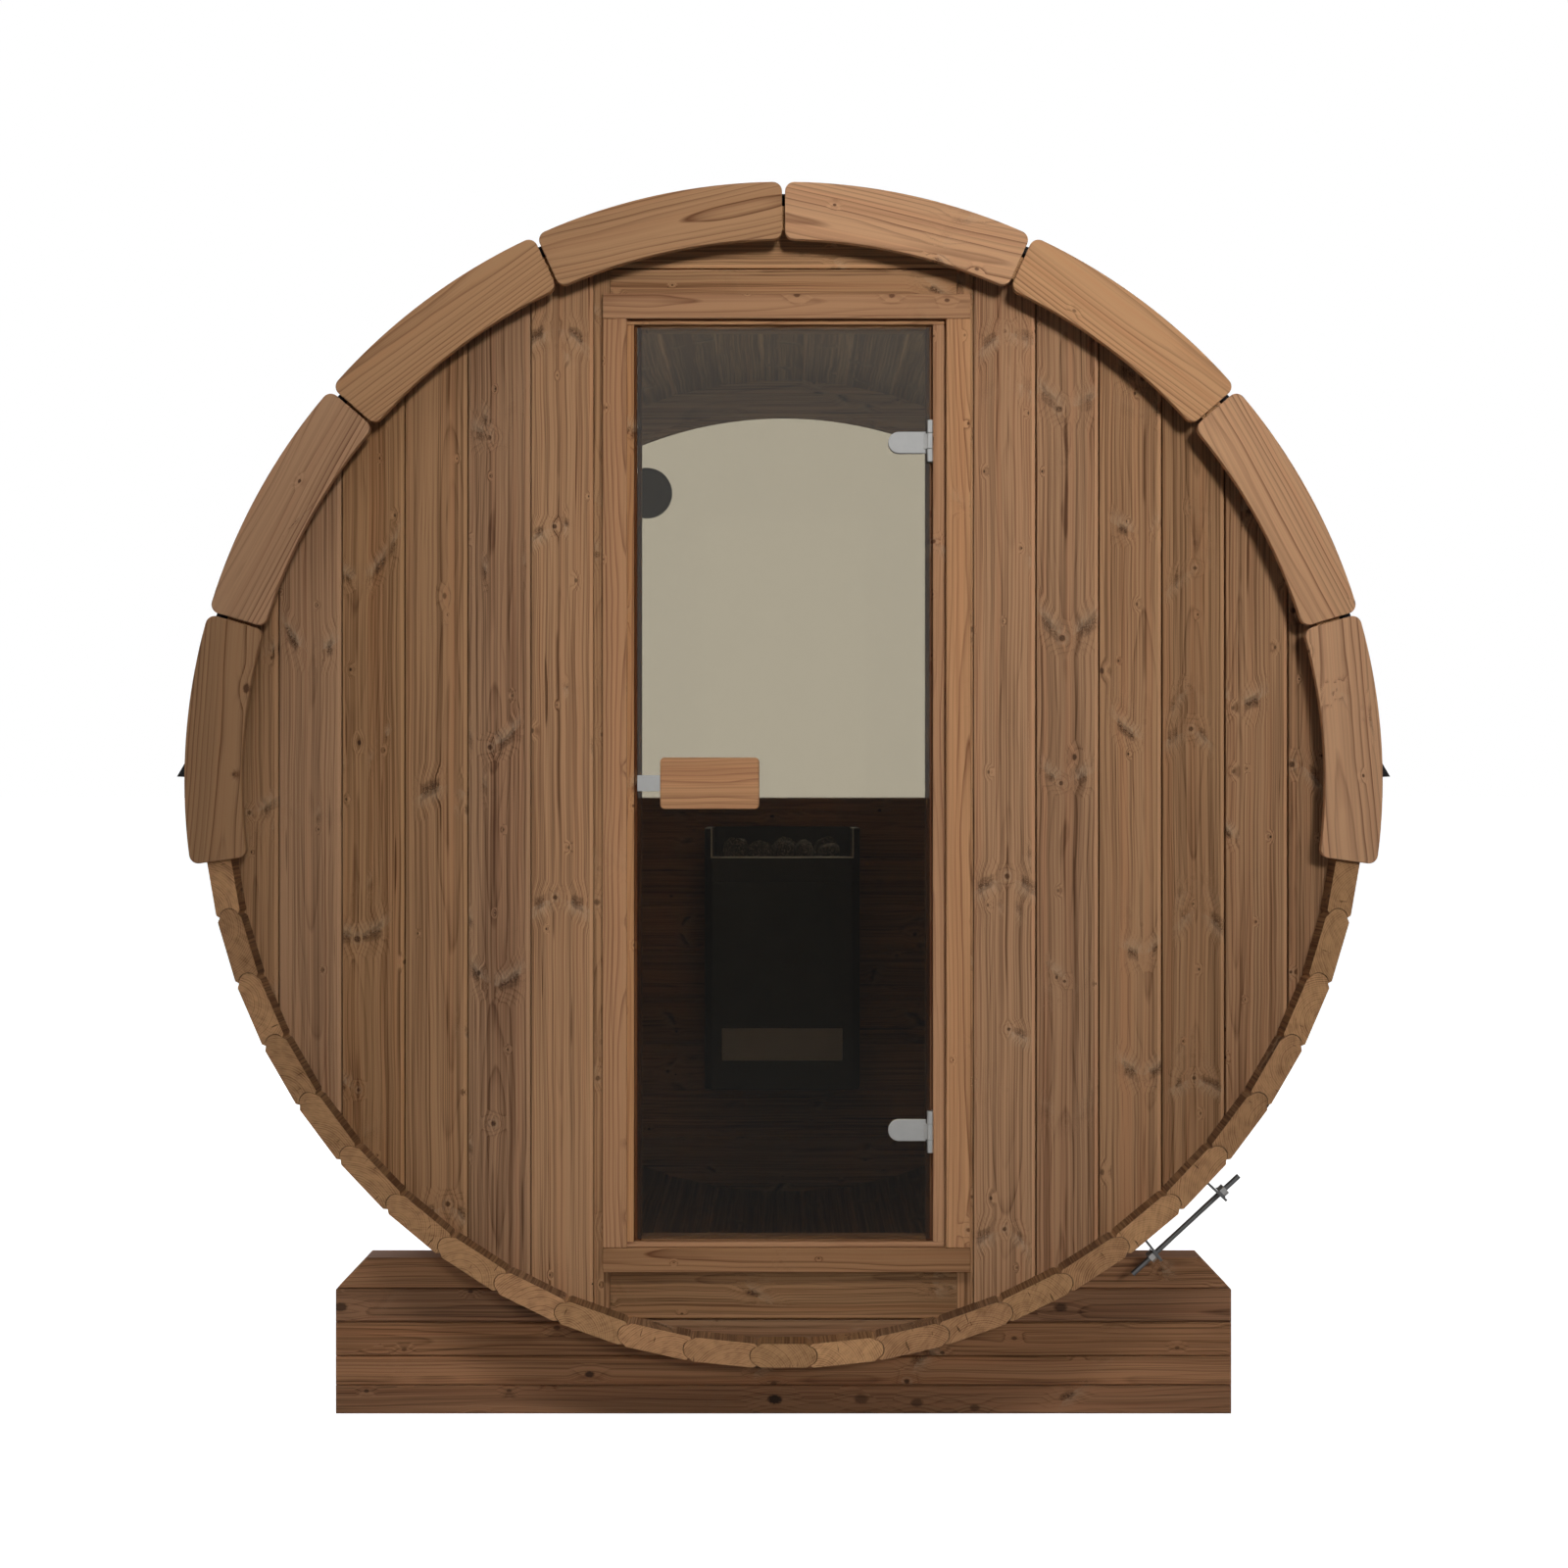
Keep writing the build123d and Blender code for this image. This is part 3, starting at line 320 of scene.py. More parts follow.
class Graph:
    """The nodes of one material or world, with short calls for the ones used most."""

    def __init__(self, owner):
        owner.use_nodes = True
        self.owner = owner
        self.tree = owner.node_tree
        self.tree.nodes.clear()

    def add(self, kind, inputs=None, **settings):
        node = self.tree.nodes.new(kind)
        for key, value in settings.items():
            setattr(node, key, value)
        for name, value in (inputs or {}).items():
            value = getattr(value, "socket", value)
            if isinstance(value, bpy.types.NodeSocket):
                self.tree.links.new(value, node.inputs[name])
            else:
                node.inputs[name].default_value = value
        return node

    def signal(self, kind, inputs=None, output=0, **settings):
        return Signal(self, self.add(kind, inputs, **settings).outputs[output])

    def math(self, operation, first, second=0.0, clamp=False):
        return self.signal("ShaderNodeMath", {0: first, 1: second}, operation=operation, use_clamp=clamp)

    def most(self, first, second):
        return self.math("MAXIMUM", first, second)

    def attribute(self, name, output="Vector"):
        return self.signal("ShaderNodeAttribute", output=output, attribute_name=name)

    def place(self):
        return self.signal("ShaderNodeTexCoord", output="Object")

    def split(self, vector):
        return [Signal(self, socket) for socket in self.add("ShaderNodeSeparateXYZ", {0: vector}).outputs]

    def join(self, x, y, z=0.0):
        return self.signal("ShaderNodeCombineXYZ", {0: x, 1: y, 2: z})

    def length(self, x, y):
        return self.signal("ShaderNodeVectorMath", {0: self.join(x, y)}, "Value", operation="LENGTH")

    def lots(self, x, y, z):
        """Four random shares of one that change from place to place."""
        node = self.add("ShaderNodeTexWhiteNoise", {"Vector": self.join(x, y, z)}, noise_dimensions="3D")
        return [Signal(self, node.outputs["Value"])] + self.split(node.outputs["Color"])

    def noise(self, vector, scale=1.0, detail=2.0, roughness=0.5):
        inputs = {"Vector": vector, "Scale": scale, "Detail": detail, "Roughness": roughness}
        return self.signal("ShaderNodeTexNoise", inputs, "Fac", noise_dimensions="3D")

    def remap(self, value, low, high, to_low=0.0, to_high=1.0):
        inputs = {"Value": value, 1: low, 2: high, 3: to_low, 4: to_high}
        return self.signal("ShaderNodeMapRange", inputs, "Result", interpolation_type="SMOOTHSTEP")

    def mix(self, share, first, second, blend="MIX"):
        inputs = {0: share, 6: first, 7: second}
        return self.signal("ShaderNodeMix", inputs, 2, data_type="RGBA", blend_type=blend)

    def rings(self, turn, seed, stops, low, high, least):
        """Growth rings by their number, with a strength of its own for each."""
        node = self.add("ShaderNodeValToRGB", {0: self.math("FRACT", turn)})
        elements = node.color_ramp.elements
        for index, (place, level) in enumerate(stops):
            element = elements[index] if index < 2 else elements.new(place)
            element.position = place
            element.color = (level, level, level, 1)
        each = self.noise(self.join(self.math("FLOOR", turn), seed), 3.7, 0.0)
        return Signal(self, node.outputs[0]) * self.remap(each, low, high, least, 1.0)

    def shade(self, colour, hue, value, saturation=1.0):
        inputs = {"Color": colour, "Hue": hue, "Saturation": saturation, "Value": value}
        return self.signal("ShaderNodeHueSaturation", inputs)

    def bump(self, height, distance, strength=1.0):
        inputs = {"Height": height, "Distance": distance, "Strength": strength}
        return self.signal("ShaderNodeBump", inputs)

    def finish(self, **sockets):
        """Joins the sockets, named as the shader names them, and gives back the material."""
        inputs = {}
        for key, value in sockets.items():
            inputs[key.replace("_", " ").title().replace("Ior", "IOR")] = value
        shader = self.add("ShaderNodeBsdfPrincipled", inputs)
        self.add("ShaderNodeOutputMaterial", {"Surface": shader.outputs[0]})
        return self.owner


def new_graph(name):
    return Graph(bpy.data.materials.new(name))


def wood(
    name,
    light,
    dark,
    knot,
    ring_width=2.6,
    ring_mark=0.3,
    whorls=0.6,
    pins=0.3,
    pin_size=1.0,
    streaks=1.0,
    roughness=0.6,
):
    """Sawn spruce: fibres and growth rings about a wandering pith, branches that cross them, pin knots."""
    g = new_graph(name)
    along, across, through = g.split(g.attribute("grain"))
    tone, hue, seed = g.split(g.attribute("board"))
    # edge holds painted light and shade: above zero paler, a painted highlight; below zero darker, painted
    # shade
    edge = g.attribute("edge", "Fac")

    # Whorls: branches leave the pith line together and curve upwards, one to each side
    reach = abs(across)
    side = g.math("SIGN", across)
    up = (g.math("FRACT", seed) > 0.35) * 2.0 - 1.0
    level_at = along * up * WHORLS + seed * 3.7
    level = g.math("FLOOR", level_at)
    branch_chance, lean_lot, start_lot, length_lot = g.lots(level, seed, side)
    whorl_chance, height_lot, size_lot, dark_lot = g.lots(level, seed, 7.0)
    wobble = g.noise(g.join(along * 75.0, across * 75.0, seed), 1.0, 3.0, 0.65)
    rise = (level_at - level - (height_lot * 0.5 + 0.25)) / WHORLS
    slant = reach * (lean_lot * 0.35 + 0.1) + reach * reach * (lean_lot * 15.0 + 3.0)
    off = rise - slant + (wobble * 0.013 - 0.0065)
    share = abs(off) / (reach * 0.09 + (size_lot * 0.0045 + 0.0018))
    begun = wobble * 0.014 + (reach - 0.007) - (start_lot * 0.026 + 0.004)
    ended = begun - (length_lot * 0.03 + 0.006)
    here = whorl_chance < whorls
    chance = here * (branch_chance < 0.75)
    within = g.remap(begun, 0.0, 0.006) * g.remap(ended, 0.006, 0.0) * chance
    nearby = g.remap(begun, -0.02, 0.006) * g.remap(ended, 0.024, 0.0) * chance
    mottle = g.noise(g.join(along * 260.0, across * 260.0, seed), 1.0, 3.0, 0.7)
    branch = g.remap(share, 1.3, 0.5) * within * g.remap(mottle, 0.3, 0.6, 0.25, 1.0)
    rim = g.remap(share, 1.9, 1.05) * g.remap(share, 0.5, 0.95) * within
    halo = g.remap(share, 6.0, 1.0) * nearby
    feather = g.noise(g.join((along - across) * 90.0, across * 420.0, seed), 1.0, 2.0)
    fan = g.remap(off, 0.0, 0.004) * g.remap(off, 0.034, 0.004) * nearby
    fan = fan * g.remap(feather, 0.35, 0.65, 0.3, 1.0)

    # The heart of a whorl: a dark dot with a paler ring on the pith line
    heart = g.length(across - (dark_lot * 0.024 - 0.012), rise) + (wobble * 0.005 - 0.0025)
    heart = heart / (size_lot * 0.003 + 0.0025)
    heart_here = here * (dark_lot < 0.6)
    heart_dot = g.remap(heart, 1.3, 0.7) * heart_here
    heart_ring = g.remap(heart, 2.6, 1.6) * g.remap(heart, 1.1, 1.6) * heart_here
    whorl_halo = g.most(halo, g.remap(heart, 7.0, 1.0) * heart_here)

    # Pin knots: small ovals
    pin_at = g.join(along * 8.0 + seed * 1.7, across * 12.0 + seed * 2.3)
    pin = g.add("ShaderNodeTexVoronoi", {"Vector": pin_at, "Scale": 1.0}, voronoi_dimensions="2D")
    pin_chance, pin_lot, pin_dark = g.split(pin.outputs["Color"])
    pin_radius = pin_lot**3.0 * (0.035 * pin_size) + 0.018 * pin_size
    pin_reach = Signal(g, pin.outputs["Distance"]) / pin_radius + (mottle * 0.8 - 0.4)
    pin_here = pin_chance < pins
    dot = g.remap(pin_reach, 1.2, 0.6) * pin_here
    pin_halo = g.remap(pin_reach, 5.0, 1.0) * pin_here

    # Growth rings
    wander = g.noise(g.join(along * 0.9, across * 4.0, seed), 1.0, 2.0)
    slow = g.noise(g.join(along * 5.0, across * 18.0, seed), 1.0, 2.0)
    pith = g.length(across, through + (wander * 0.06 - 0.03)) + slow * 0.006
    turn = (pith + whorl_halo * 0.009 + pin_halo * 0.004) / (ring_width * MM)
    band = g.rings(turn, seed, WOOD_RING, 0.3, 0.7, 0.35)

    # Fibres, streaks and slow drifts of colour, which part round the knots
    sway = g.noise(g.join(along * 3.0, seed, 4.0), 1.0, 2.0)
    bowed = across - g.most(whorl_halo, pin_halo) * side * 0.009 + sway * 0.012

    def strand(stretch, fineness, detail):
        at = g.join(along * stretch, bowed * fineness + seed * 11.0, through * fineness)
        return g.noise(at, 1.0, detail, 0.55)

    fibre = strand(4.0, 620.0, 2.0)
    thread = strand(1.4, 300.0, 2.0)
    warm = strand(0.7, 55.0, 2.0)
    spear = g.remap(strand(5.0, 170.0, 0.0), 0.79, 0.86)
    stretch = g.noise(g.join(along * 3.5, seed, 2.0), 1.0, 1.0)
    heartline = abs(across - 0.006 + sway * 0.012)
    heartline = g.remap(heartline, 0.0036, 0.0008) * g.remap(stretch, 0.5, 0.6)

    mark = band * ring_mark + (0.36 - 0.35 * ring_mark)
    for layer, weight in (
        (fibre, 0.7 * streaks),
        (g.remap(thread, 0.4, 0.62), 0.5 * streaks),
        (strand(0.9, 115.0, 3.0), streaks),
        (strand(1.2, 22.0, 2.0), 0.35 + 0.4 * streaks),
    ):
        mark = mark + (layer * weight - 0.5 * weight)
    mark = mark + spear * (0.6 * streaks**2) + heartline * (0.45 * streaks**2)
    # The painted light and shade from edge go into the mark here and into the value below
    mark = g.math("ADD", mark, edge * -0.7, clamp=True)
    colour = g.mix(mark, light, dark)
    redder = g.remap(warm, 0.45, 0.75, 0.0, 0.15 + 0.25 * streaks)
    colour = g.mix(redder, colour, g.mix(1.0, colour, RED, "MULTIPLY"))
    colour = g.mix(g.most(fan * 0.7, heart_ring * 0.25), colour, FAN)
    knotty = g.most(branch * (dark_lot * 0.3 + 0.68), heart_dot * 0.85)
    colour = g.mix(g.most(knotty, rim * 0.5), colour, knot)
    colour = g.mix(dot * (pin_dark * 0.4 + 0.55), colour, knot)
    height = band * 0.4 + fibre * 0.7 + thread * 0.5 - branch * 0.7
    return g.finish(
        base_color=g.shade(colour, hue * 0.001 + 0.5, edge * 0.2 + (tone * 0.16 + 1.0), hue * 0.04 + 1.0),
        roughness=fibre * 0.14 + (band * -0.06 + roughness),
        specular_ior_level=0.25,
        normal=g.bump(height, 0.5 * MM, 0.6),
    )


def end_grain(name, light, dark, crack):
    """Saw cuts across the staves: growth rings, slanting saw marks and fine drying cracks."""
    g = new_graph(name)
    along, across, through = g.split(g.attribute("grain"))
    tone, hue, seed = g.split(g.attribute("board"))
    waver = g.noise(g.join(across, through, seed), 30.0, 2.0)
    turn = (g.length(across, through) + waver * 0.004) / (3.8 * MM)
    band = g.rings(turn, seed, END_RING, 0.35, 0.65, 0.25)
    slant_u = across * 0.8 + through * 0.6
    slant_v = through * 0.8 - across * 0.6
    saw = g.noise(g.join(slant_u * 40.0, slant_v * 380.0, seed), 1.0, 3.0, 0.7)
    blot = g.noise(g.join(across, through, seed), 55.0, 3.0)
    split = g.remap(g.noise(g.join(across * 170.0, through * 26.0, seed), 1.0, 2.0), 0.69, 0.76)
    mark = g.math("ADD", band * 0.6 + (saw * 1.2 - 0.58), blot - 0.42, clamp=True)
    colour = g.mix(split * 0.8, g.mix(mark, light, dark), crack)
    return g.finish(
        base_color=g.shade(colour, hue * 0.0025 + 0.497, tone * 0.16 + 1.0),
        roughness=saw * 0.1 + 0.72,
        specular_ior_level=0.2,
        normal=g.bump(saw - split, 0.6 * MM, 0.7),
    )


def metal(name, colour, roughness):
    """Brushed or drawn steel: fine streaks in colour, gloss and height."""
    g = new_graph(name)
    place = g.place()
    x, y, z = g.split(place)
    streak = g.noise(g.join(x * 40.0, y * 40.0, z * 900.0), 1.0, 3.0)
    darker = tuple(0.6 * level for level in colour[:3]) + (1.0,)
    return g.finish(
        base_color=g.mix(g.noise(place, 60.0, 3.0) * 0.3, colour, darker),
        metallic=1.0,
        roughness=streak * 0.16 + roughness,
        normal=g.bump(streak, 0.05 * MM, 0.4),
    )


def speckled(name, colour, second, roughness, size, depth):
    """A grainy surface, such as enamel, rubber, stone or mineral granules, by its grain size."""
    g = new_graph(name)
    fine = g.noise(g.place(), 1 / size, 3.0, 0.6)
    coarse = g.noise(g.place(), 0.06 / size, 3.0)
    share = g.math("ADD", g.remap(fine, 0.45, 0.7), coarse * 0.5 - 0.25, clamp=True)
    return g.finish(
        base_color=g.mix(share, colour, second),
        roughness=fine * 0.2 + (roughness - 0.1),
        normal=g.bump(fine, depth, 0.7),
    )


def glass(name, colour, dust):
    """Clear or tinted toughened glass with a trace of dust."""
    g = new_graph(name)
    haze = g.noise(g.place(), 6.0, 4.0)
    return g.finish(base_color=colour, roughness=haze * dust, transmission_weight=1.0, ior=1.45)


# A wood: light, dark and knot colour, ring width in mm and strength, shares of whorls and of pin knots,
# size of the pins, strength of the streaks, roughness. Speckled: two colours, roughness, grain size, depth.
RECIPES = (
    (wood, "spruce_end_wall", tint(180, 138, 101), tint(94, 62, 41), KNOT, 3.6, 0.4, 0.8, 0.4, 1, 1, 0.62),
    (wood, "spruce_stave", tint(182, 141, 102), tint(104, 72, 48), KNOT, 4.2, 0.45, 0.7, 0.4),
    (wood, "spruce_trim", tint(196, 151, 112), tint(112, 70, 46), RUST_KNOT, 7, 0.95, 0.12, 0.25, 1.6, 0.3),
    (wood, "spruce_cradle", tint(177, 129, 92), tint(86, 57, 38), BLACK_KNOT, 5.5, 0.55, 0.3, 0.6, 2.2, 0.8),
    (wood, "door_frame_wood", tint(192, 144, 103), tint(115, 70, 45), RED_KNOT, 5, 0.75, 0.15, 0.6, 1, 0.4),
    (wood, "handle_wood", tint(204, 152, 106), tint(132, 84, 54), PALE_KNOT, 4.6, 0.75, 0, 0, 1, 0.5),
    (end_grain, "stave_end", tint(197, 152, 107), tint(115, 77, 50), tint(56, 35, 24)),
    (glass, "tinted_glass", tint(176, 168, 150), 0.02),
    (glass, "window_glass", tint(244, 243, 238), 0.03),
    (metal, "satin_steel", tint(222, 221, 218), 0.3),
    (metal, "dark_steel", tint(136, 136, 136), 0.36),
    (speckled, "bitumen_shingle", tint(30, 30, 31), tint(74, 74, 76), 0.9, 1.6 * MM, 0.8 * MM),
    (speckled, "black_enamel", tint(46, 43, 41), tint(56, 53, 50), 0.45, *ENAMEL),
    (speckled, "grey_enamel", tint(181, 178, 176), tint(197, 194, 192), 0.45, *ENAMEL),
    (speckled, "stone", tint(92, 89, 86), tint(196, 188, 178), 0.8, 4 * MM, 1.5 * MM),
    # The vent's black enamel, made paler as painted light, as if lit from the room inside
    (speckled, "vent_enamel", tint(64, 58, 51), tint(78, 71, 63), 0.5, *ENAMEL),
    (speckled, "black_rubber", tint(20, 20, 20), tint(34, 34, 34), 0.7, 1.2 * MM, 0.1 * MM),
)
MATERIALS = {name: recipe(name, *values) for recipe, name, *values in RECIPES}
RECORD_SLOTS = {"vent_enamel": "black_enamel"}


def upright(u, v, t):
    """Places a plan of (x, y) points swept up Z."""
    return Vector((u, v, t))


def facing(u, v, t):
    """Places a front view of (x, z) points swept along Y."""
    return Vector((u, t, v))


def crosswise(u, v, t):
    """Places a section of (-z, y) points swept along X."""
    return Vector((t, v, -u))


class Board:
    """Where a board sat in its log, and its own tone, hue and seed."""

    def __init__(self, across=0.03, near=0.02, far=0.09, tone=0.0):
        along = draws.uniform(0, 40)
        self.shift = Vector((along, draws.uniform(-across, across), draws.uniform(near, far)))
        self.look = (tone + draws.uniform(-0.8, 0.8), draws.uniform(-1, 1), draws.uniform(0, 20))


class Piece:
    """Collects the boards or plates of one visible piece, then makes its object."""

    def __init__(self, name, slot, *nodes, body="sauna"):
        self.name, self.slot, self.nodes, self.body = name, slot, nodes, body
        self.points, self.faces, self.grain, self.board, self.finish = [], [], [], [], []
        # Painted light and shade by point: how much paler, below zero how much darker
        self.edges = {}
        self.slots = [slot]

    def material(self, slot):
        if slot not in self.slots:
            self.slots.append(slot)
        return self.slots.index(slot)

    def add(self, points, faces, grain=None, board=None, slots=None):
        """Adds one closed shape. grain holds a log place for each point, slots a finish for each face."""
        board = board or Board()
        first = len(self.points)
        self.points += points
        self.grain += [Vector(place) + board.shift for place in grain or points]
        self.board += [board.look] * len(points)
        self.faces += [[first + index for index in face] for face in faces]
        self.finish += [self.material(slot) for slot in slots or [self.slot] * len(faces)]

    def loft(self, rings, grain=None, board=None, slots=None):
        """Adds a closed tube through rings that all have the same number of points."""
        count = len(rings[0])
        last = (len(rings) - 1) * count
        faces = [
            [first + i, first + (i + 1) % count, first + count + (i + 1) % count, first + count + i]
            for first in range(0, last, count)
            for i in range(count)
        ]
        faces += [list(range(count))[::-1], list(range(last, last + count))]
        self.add([point for ring in rings for point in ring], faces, grain, board, slots)

    def prism(
        self, section, start, end, place=facing, board=None, slot=None, end_slot=None, log=None, edges=None
    ):
        """A section of (u, v) points swept along t from start to end, which may depend on the point.

        edges holds painted light and shade: how much paler the wood is at some of the section's points, as a
        painted highlight, and below zero how much darker, as painted shade.
        """
        count = len(section)
        for index, level in (edges or {}).items():
            for ring in (0, count):
                self.edges[len(self.points) + ring + index] = level
        rings, grain = [], []
        for reach in (start, end):
            swept = [(u, v, reach(u, v) if callable(reach) else reach) for u, v in section]
            rings.append([place(*point) for point in swept])
            grain += [log(u, v, t) if log else (t, u, v) for u, v, t in swept]
        slot = slot or self.slot
        self.loft(rings, grain, board, [slot] * count + [end_slot or slot] * 2)

    def build(self, bevel=0.0, segments=2, angle=30.0):
        """Makes the object, its edges eased by bevel where they turn by more than angle."""
        mesh = bpy.data.meshes.new(self.name)
        mesh.from_pydata([tuple(point) for point in self.points], [], self.faces)
        for label, values in (("grain", self.grain), ("board", self.board)):
            layer = mesh.attributes.new(label, "FLOAT_VECTOR", "POINT")
            layer.data.foreach_set("vector", [level for value in values for level in value])
        # The edge attribute carries the painted light and shade, paler above zero, darker below
        layer = mesh.attributes.new("edge", "FLOAT", "POINT")
        layer.data.foreach_set("value", [self.edges.get(index, 0.0) for index in range(len(self.points))])
        mesh.polygons.foreach_set("material_index", self.finish)
        for slot in self.slots:
            mesh.materials.append(MATERIALS[slot])
        mesh.update()
        work = bmesh.new()
        work.from_mesh(mesh)
        bmesh.ops.recalc_face_normals(work, faces=work.faces)
        work.to_mesh(mesh)
        work.free()
        mesh.polygons.foreach_set("use_smooth", [True] * len(mesh.polygons))
        mesh.set_sharp_from_angle(angle=math.radians(angle))
        piece = bpy.data.objects.new(self.name, mesh)
        bpy.context.scene.collection.objects.link(piece)
        if bevel:
            edge = piece.modifiers.new("Eased edges", "BEVEL")
            edge.width = bevel
            edge.segments = segments
            edge.limit_method = "ANGLE"
            edge.angle_limit = math.radians(angle)
            edge.use_clamp_overlap = True
            edge.harden_normals = True
        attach(piece, self.body)
        RECORD_SLOTS.get(self.slot, self.slot)
        if self.nodes:
            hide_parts(*self.nodes)


def on_ray(angle, radius, forward=0.0):
    """A point in the ring plane: angle from the bottom, radius, and a step along the ring."""
    a = math.radians(angle)
    return (
        radius * math.sin(a) + forward * math.cos(a),
        -radius * math.cos(a) + forward * math.sin(a),
    )


def arc_points(radius, start, end, steps):
    """Points of an arc in the ring plane, angles from the bottom."""
    return [on_ray(start + (end - start) * n / steps, radius) for n in range(steps + 1)]


def half_chord(distance, radius=WALL_RADIUS):
    """Half the chord of a circle at a distance from its centre."""
    return math.sqrt(max(radius**2 - distance**2, 0))


def rectangle(left, low, right, high):
    """The corners of a rectangle."""
    return [(left, low), (right, low), (right, high), (left, high)]


def circle(centre, radius, steps=48):
    """A closed ring of points."""
    x, z = centre
    turns = [2 * math.pi * n / steps for n in range(steps)]
    return [(x + radius * math.cos(a), z + radius * math.sin(a)) for a in turns]


def flip(section):
    """A section mirrored left to right."""
    return [(-u, v) for u, v in section]


def round_corners(outline, radius, marks=None, steps=6):
    """Rounds the corners of an outline: those whose places are marked, or all of them."""
    rounded = []
    for index, point in enumerate(outline):
        if marks and index not in marks:
            rounded.append(point)
            continue
        here = Vector(point)
        before = (Vector(outline[index - 1]) - here).normalized()
        after = (Vector(outline[(index + 1) % len(outline)]) - here).normalized()
        half = before.angle(after) / 2
        centre = here + (before + after).normalized() * (radius / math.sin(half))
        first = here + before * (radius / math.tan(half)) - centre
        last = here + after * (radius / math.tan(half)) - centre
        sweep = first.angle_signed(last)
        for step in range(steps + 1):
            spoke = Matrix.Rotation(-sweep * step / steps, 2) @ first
            rounded.append(tuple(centre + spoke))
    return rounded


def ring_place(angle):
    """Places a section drawn at the bottom of the ring at another angle, swept along Y."""
    a = math.radians(angle)

    def place(u, v, t):
        return Vector((u * math.cos(a) - v * math.sin(a), t, RING_Z + u * math.sin(a) + v * math.cos(a)))

    return place


def joint_edge(angle, bulge, shift):
    """The rounded edge between two staves as points on an arc, from the outer root inwards."""
    root_outer = APOTHEM - BEAD_SHOULDER
    root_inner = INNER_APOTHEM + INNER_SHOULDER
    middle = (root_outer + root_inner) / 2
    half_span = (root_outer - root_inner) / 2
    radius = (half_span**2 + bulge**2) / (2 * abs(bulge))
    sweep = math.asin(half_span / radius)
    points = []
    for step in range(BEAD_STEPS + 1):
        turn = sweep * (1 - 2 * step / BEAD_STEPS)
        rise = radius * math.cos(turn) - radius + abs(bulge)
        points.append(on_ray(angle, middle + radius * math.sin(turn), math.copysign(rise, bulge) + shift))
    return points


def stave_section(half, lower_bead, upper_bead):
    """One stave in section: flat faces, V-notched edges, a bead or a cove on each edge."""
    corner_out = APOTHEM * math.tan(math.radians(half)) - NOTCH
    corner_in = INNER_APOTHEM * math.tan(math.radians(half)) - INNER_NOTCH
    lower = joint_edge(-half, -BEAD_RISE if lower_bead else BEAD_RISE, 0 if lower_bead else JOINT_CLEARANCE)
    upper = joint_edge(half, BEAD_RISE if upper_bead else -BEAD_RISE, 0 if upper_bead else -JOINT_CLEARANCE)
    start = [(-corner_out, -APOTHEM), (corner_out, -APOTHEM)]
    return start + upper + [(corner_in, -INNER_APOTHEM), (-corner_in, -INNER_APOTHEM)] + lower[::-1]


def stave(number):
    """Section and angle of stave number: 0 at the bottom, positive up the right, negative up the left."""
    side = 1 if number >= 0 else -1
    rank = abs(number)
    if rank == 0:
        return stave_section(FIRST_HALF, True, True), 0.0
    if rank <= SIDE_STAVES:
        section, turn = stave_section(PITCH / 2, False, True), FIRST_HALF + (rank - 0.5) * PITCH
    elif rank == SIDE_STAVES + 1:
        section, turn = stave_section(CLOSING_PITCH / 2, False, True), SIDE_TOP + CLOSING_PITCH / 2
    else:
        return stave_section(CLOSING_PITCH / 2, False, False), 180.0
    return (section if side > 0 else flip(section)), side * turn


def make_staves():
    """The barrel's staves, pale where their ends are sawn."""
    groups = {"floor": [], "left": [], "right": [], "roof": []}
    for number in range(-LAST_STAVE + 1, LAST_STAVE + 1):
        place = "right" if number > 0 else "left"
        if abs(number) <= LAST_FLOOR_STAVE:
            place = "floor"
        elif abs(number) >= FIRST_ROOF_STAVE:
            place = "roof"
        groups[place].append(number)
    for group, numbers in groups.items():
        for parity, word in ((0, "even"), (1, "odd")):
            node = group + "_staves_" + word
            piece = Piece(node + "_timber", "spruce_stave", node)
            for number in numbers:
                if number % 2 != parity:
                    continue
                section, angle = stave(number)
                board = Board(0.05, 0.9, 1.1)
                board.shift.z = APOTHEM + draws.uniform(0.01, 0.07)
                # The two inner corners carry painted shade, which darkens the staves' inner faces
                corner = len(section) - BEAD_STEPS - 3
                piece.prism(
                    section,
                    -HALF_LENGTH,
                    HALF_LENGTH,
                    ring_place(angle),
                    board,
                    end_slot="stave_end",
                    edges={corner: PAINTED_INNER_SHADE, corner + 1: PAINTED_INNER_SHADE},
                )
            piece.build(0.6 * MM, 1, 50)


def board_plan(low, high, face, back, eased=True):
    """Plan of one tongued board as (seam direction, depth) points, its bevel on the high edge."""
    inward = 1 if back > face else -1
    left = low + SEAM_GAP / 2
    right = high - SEAM_GAP / 2
    shoulder = face + inward * SEAM_DEPTH
    step_back = face + inward * (SEAM_DEPTH + TONGUE)
    back_edge = back - inward * CHAMFER_DEEP
    tongue = high + SEAM_GAP / 2 - PLAY if eased else right
    last = right - SEAM_BEVEL if eased else right
    points = [(left + (last - left) * n / BOARD_STEPS, face) for n in range(BOARD_STEPS + 1)]
    if eased:
        points.insert(-1, (last - BEVEL_LEAD, face))
        points += [(right, shoulder), (right, step_back), (tongue, step_back)]
    points.append((tongue, back_edge))
    start, end = tongue - CHAMFER_ACROSS, left + CHAMFER_ACROSS
    points += [(start + (end - start) * n / BOARD_STEPS, back) for n in range(BOARD_STEPS + 1)]
    points.append((left, back_edge))
    return points


def upright_board(piece, plan, low, high, edges=None):
    """One upright board of the front wall, its ends on the wall's circle."""
    middle = (low + high) / 2
    piece.prism(
        plan,
        lambda u, v: RING_Z - half_chord(u),
        lambda u, v: RING_Z + half_chord(u),
        upright,
        log=lambda u, v, t: (t, u - middle, v - FRONT),
        edges=edges,
    )


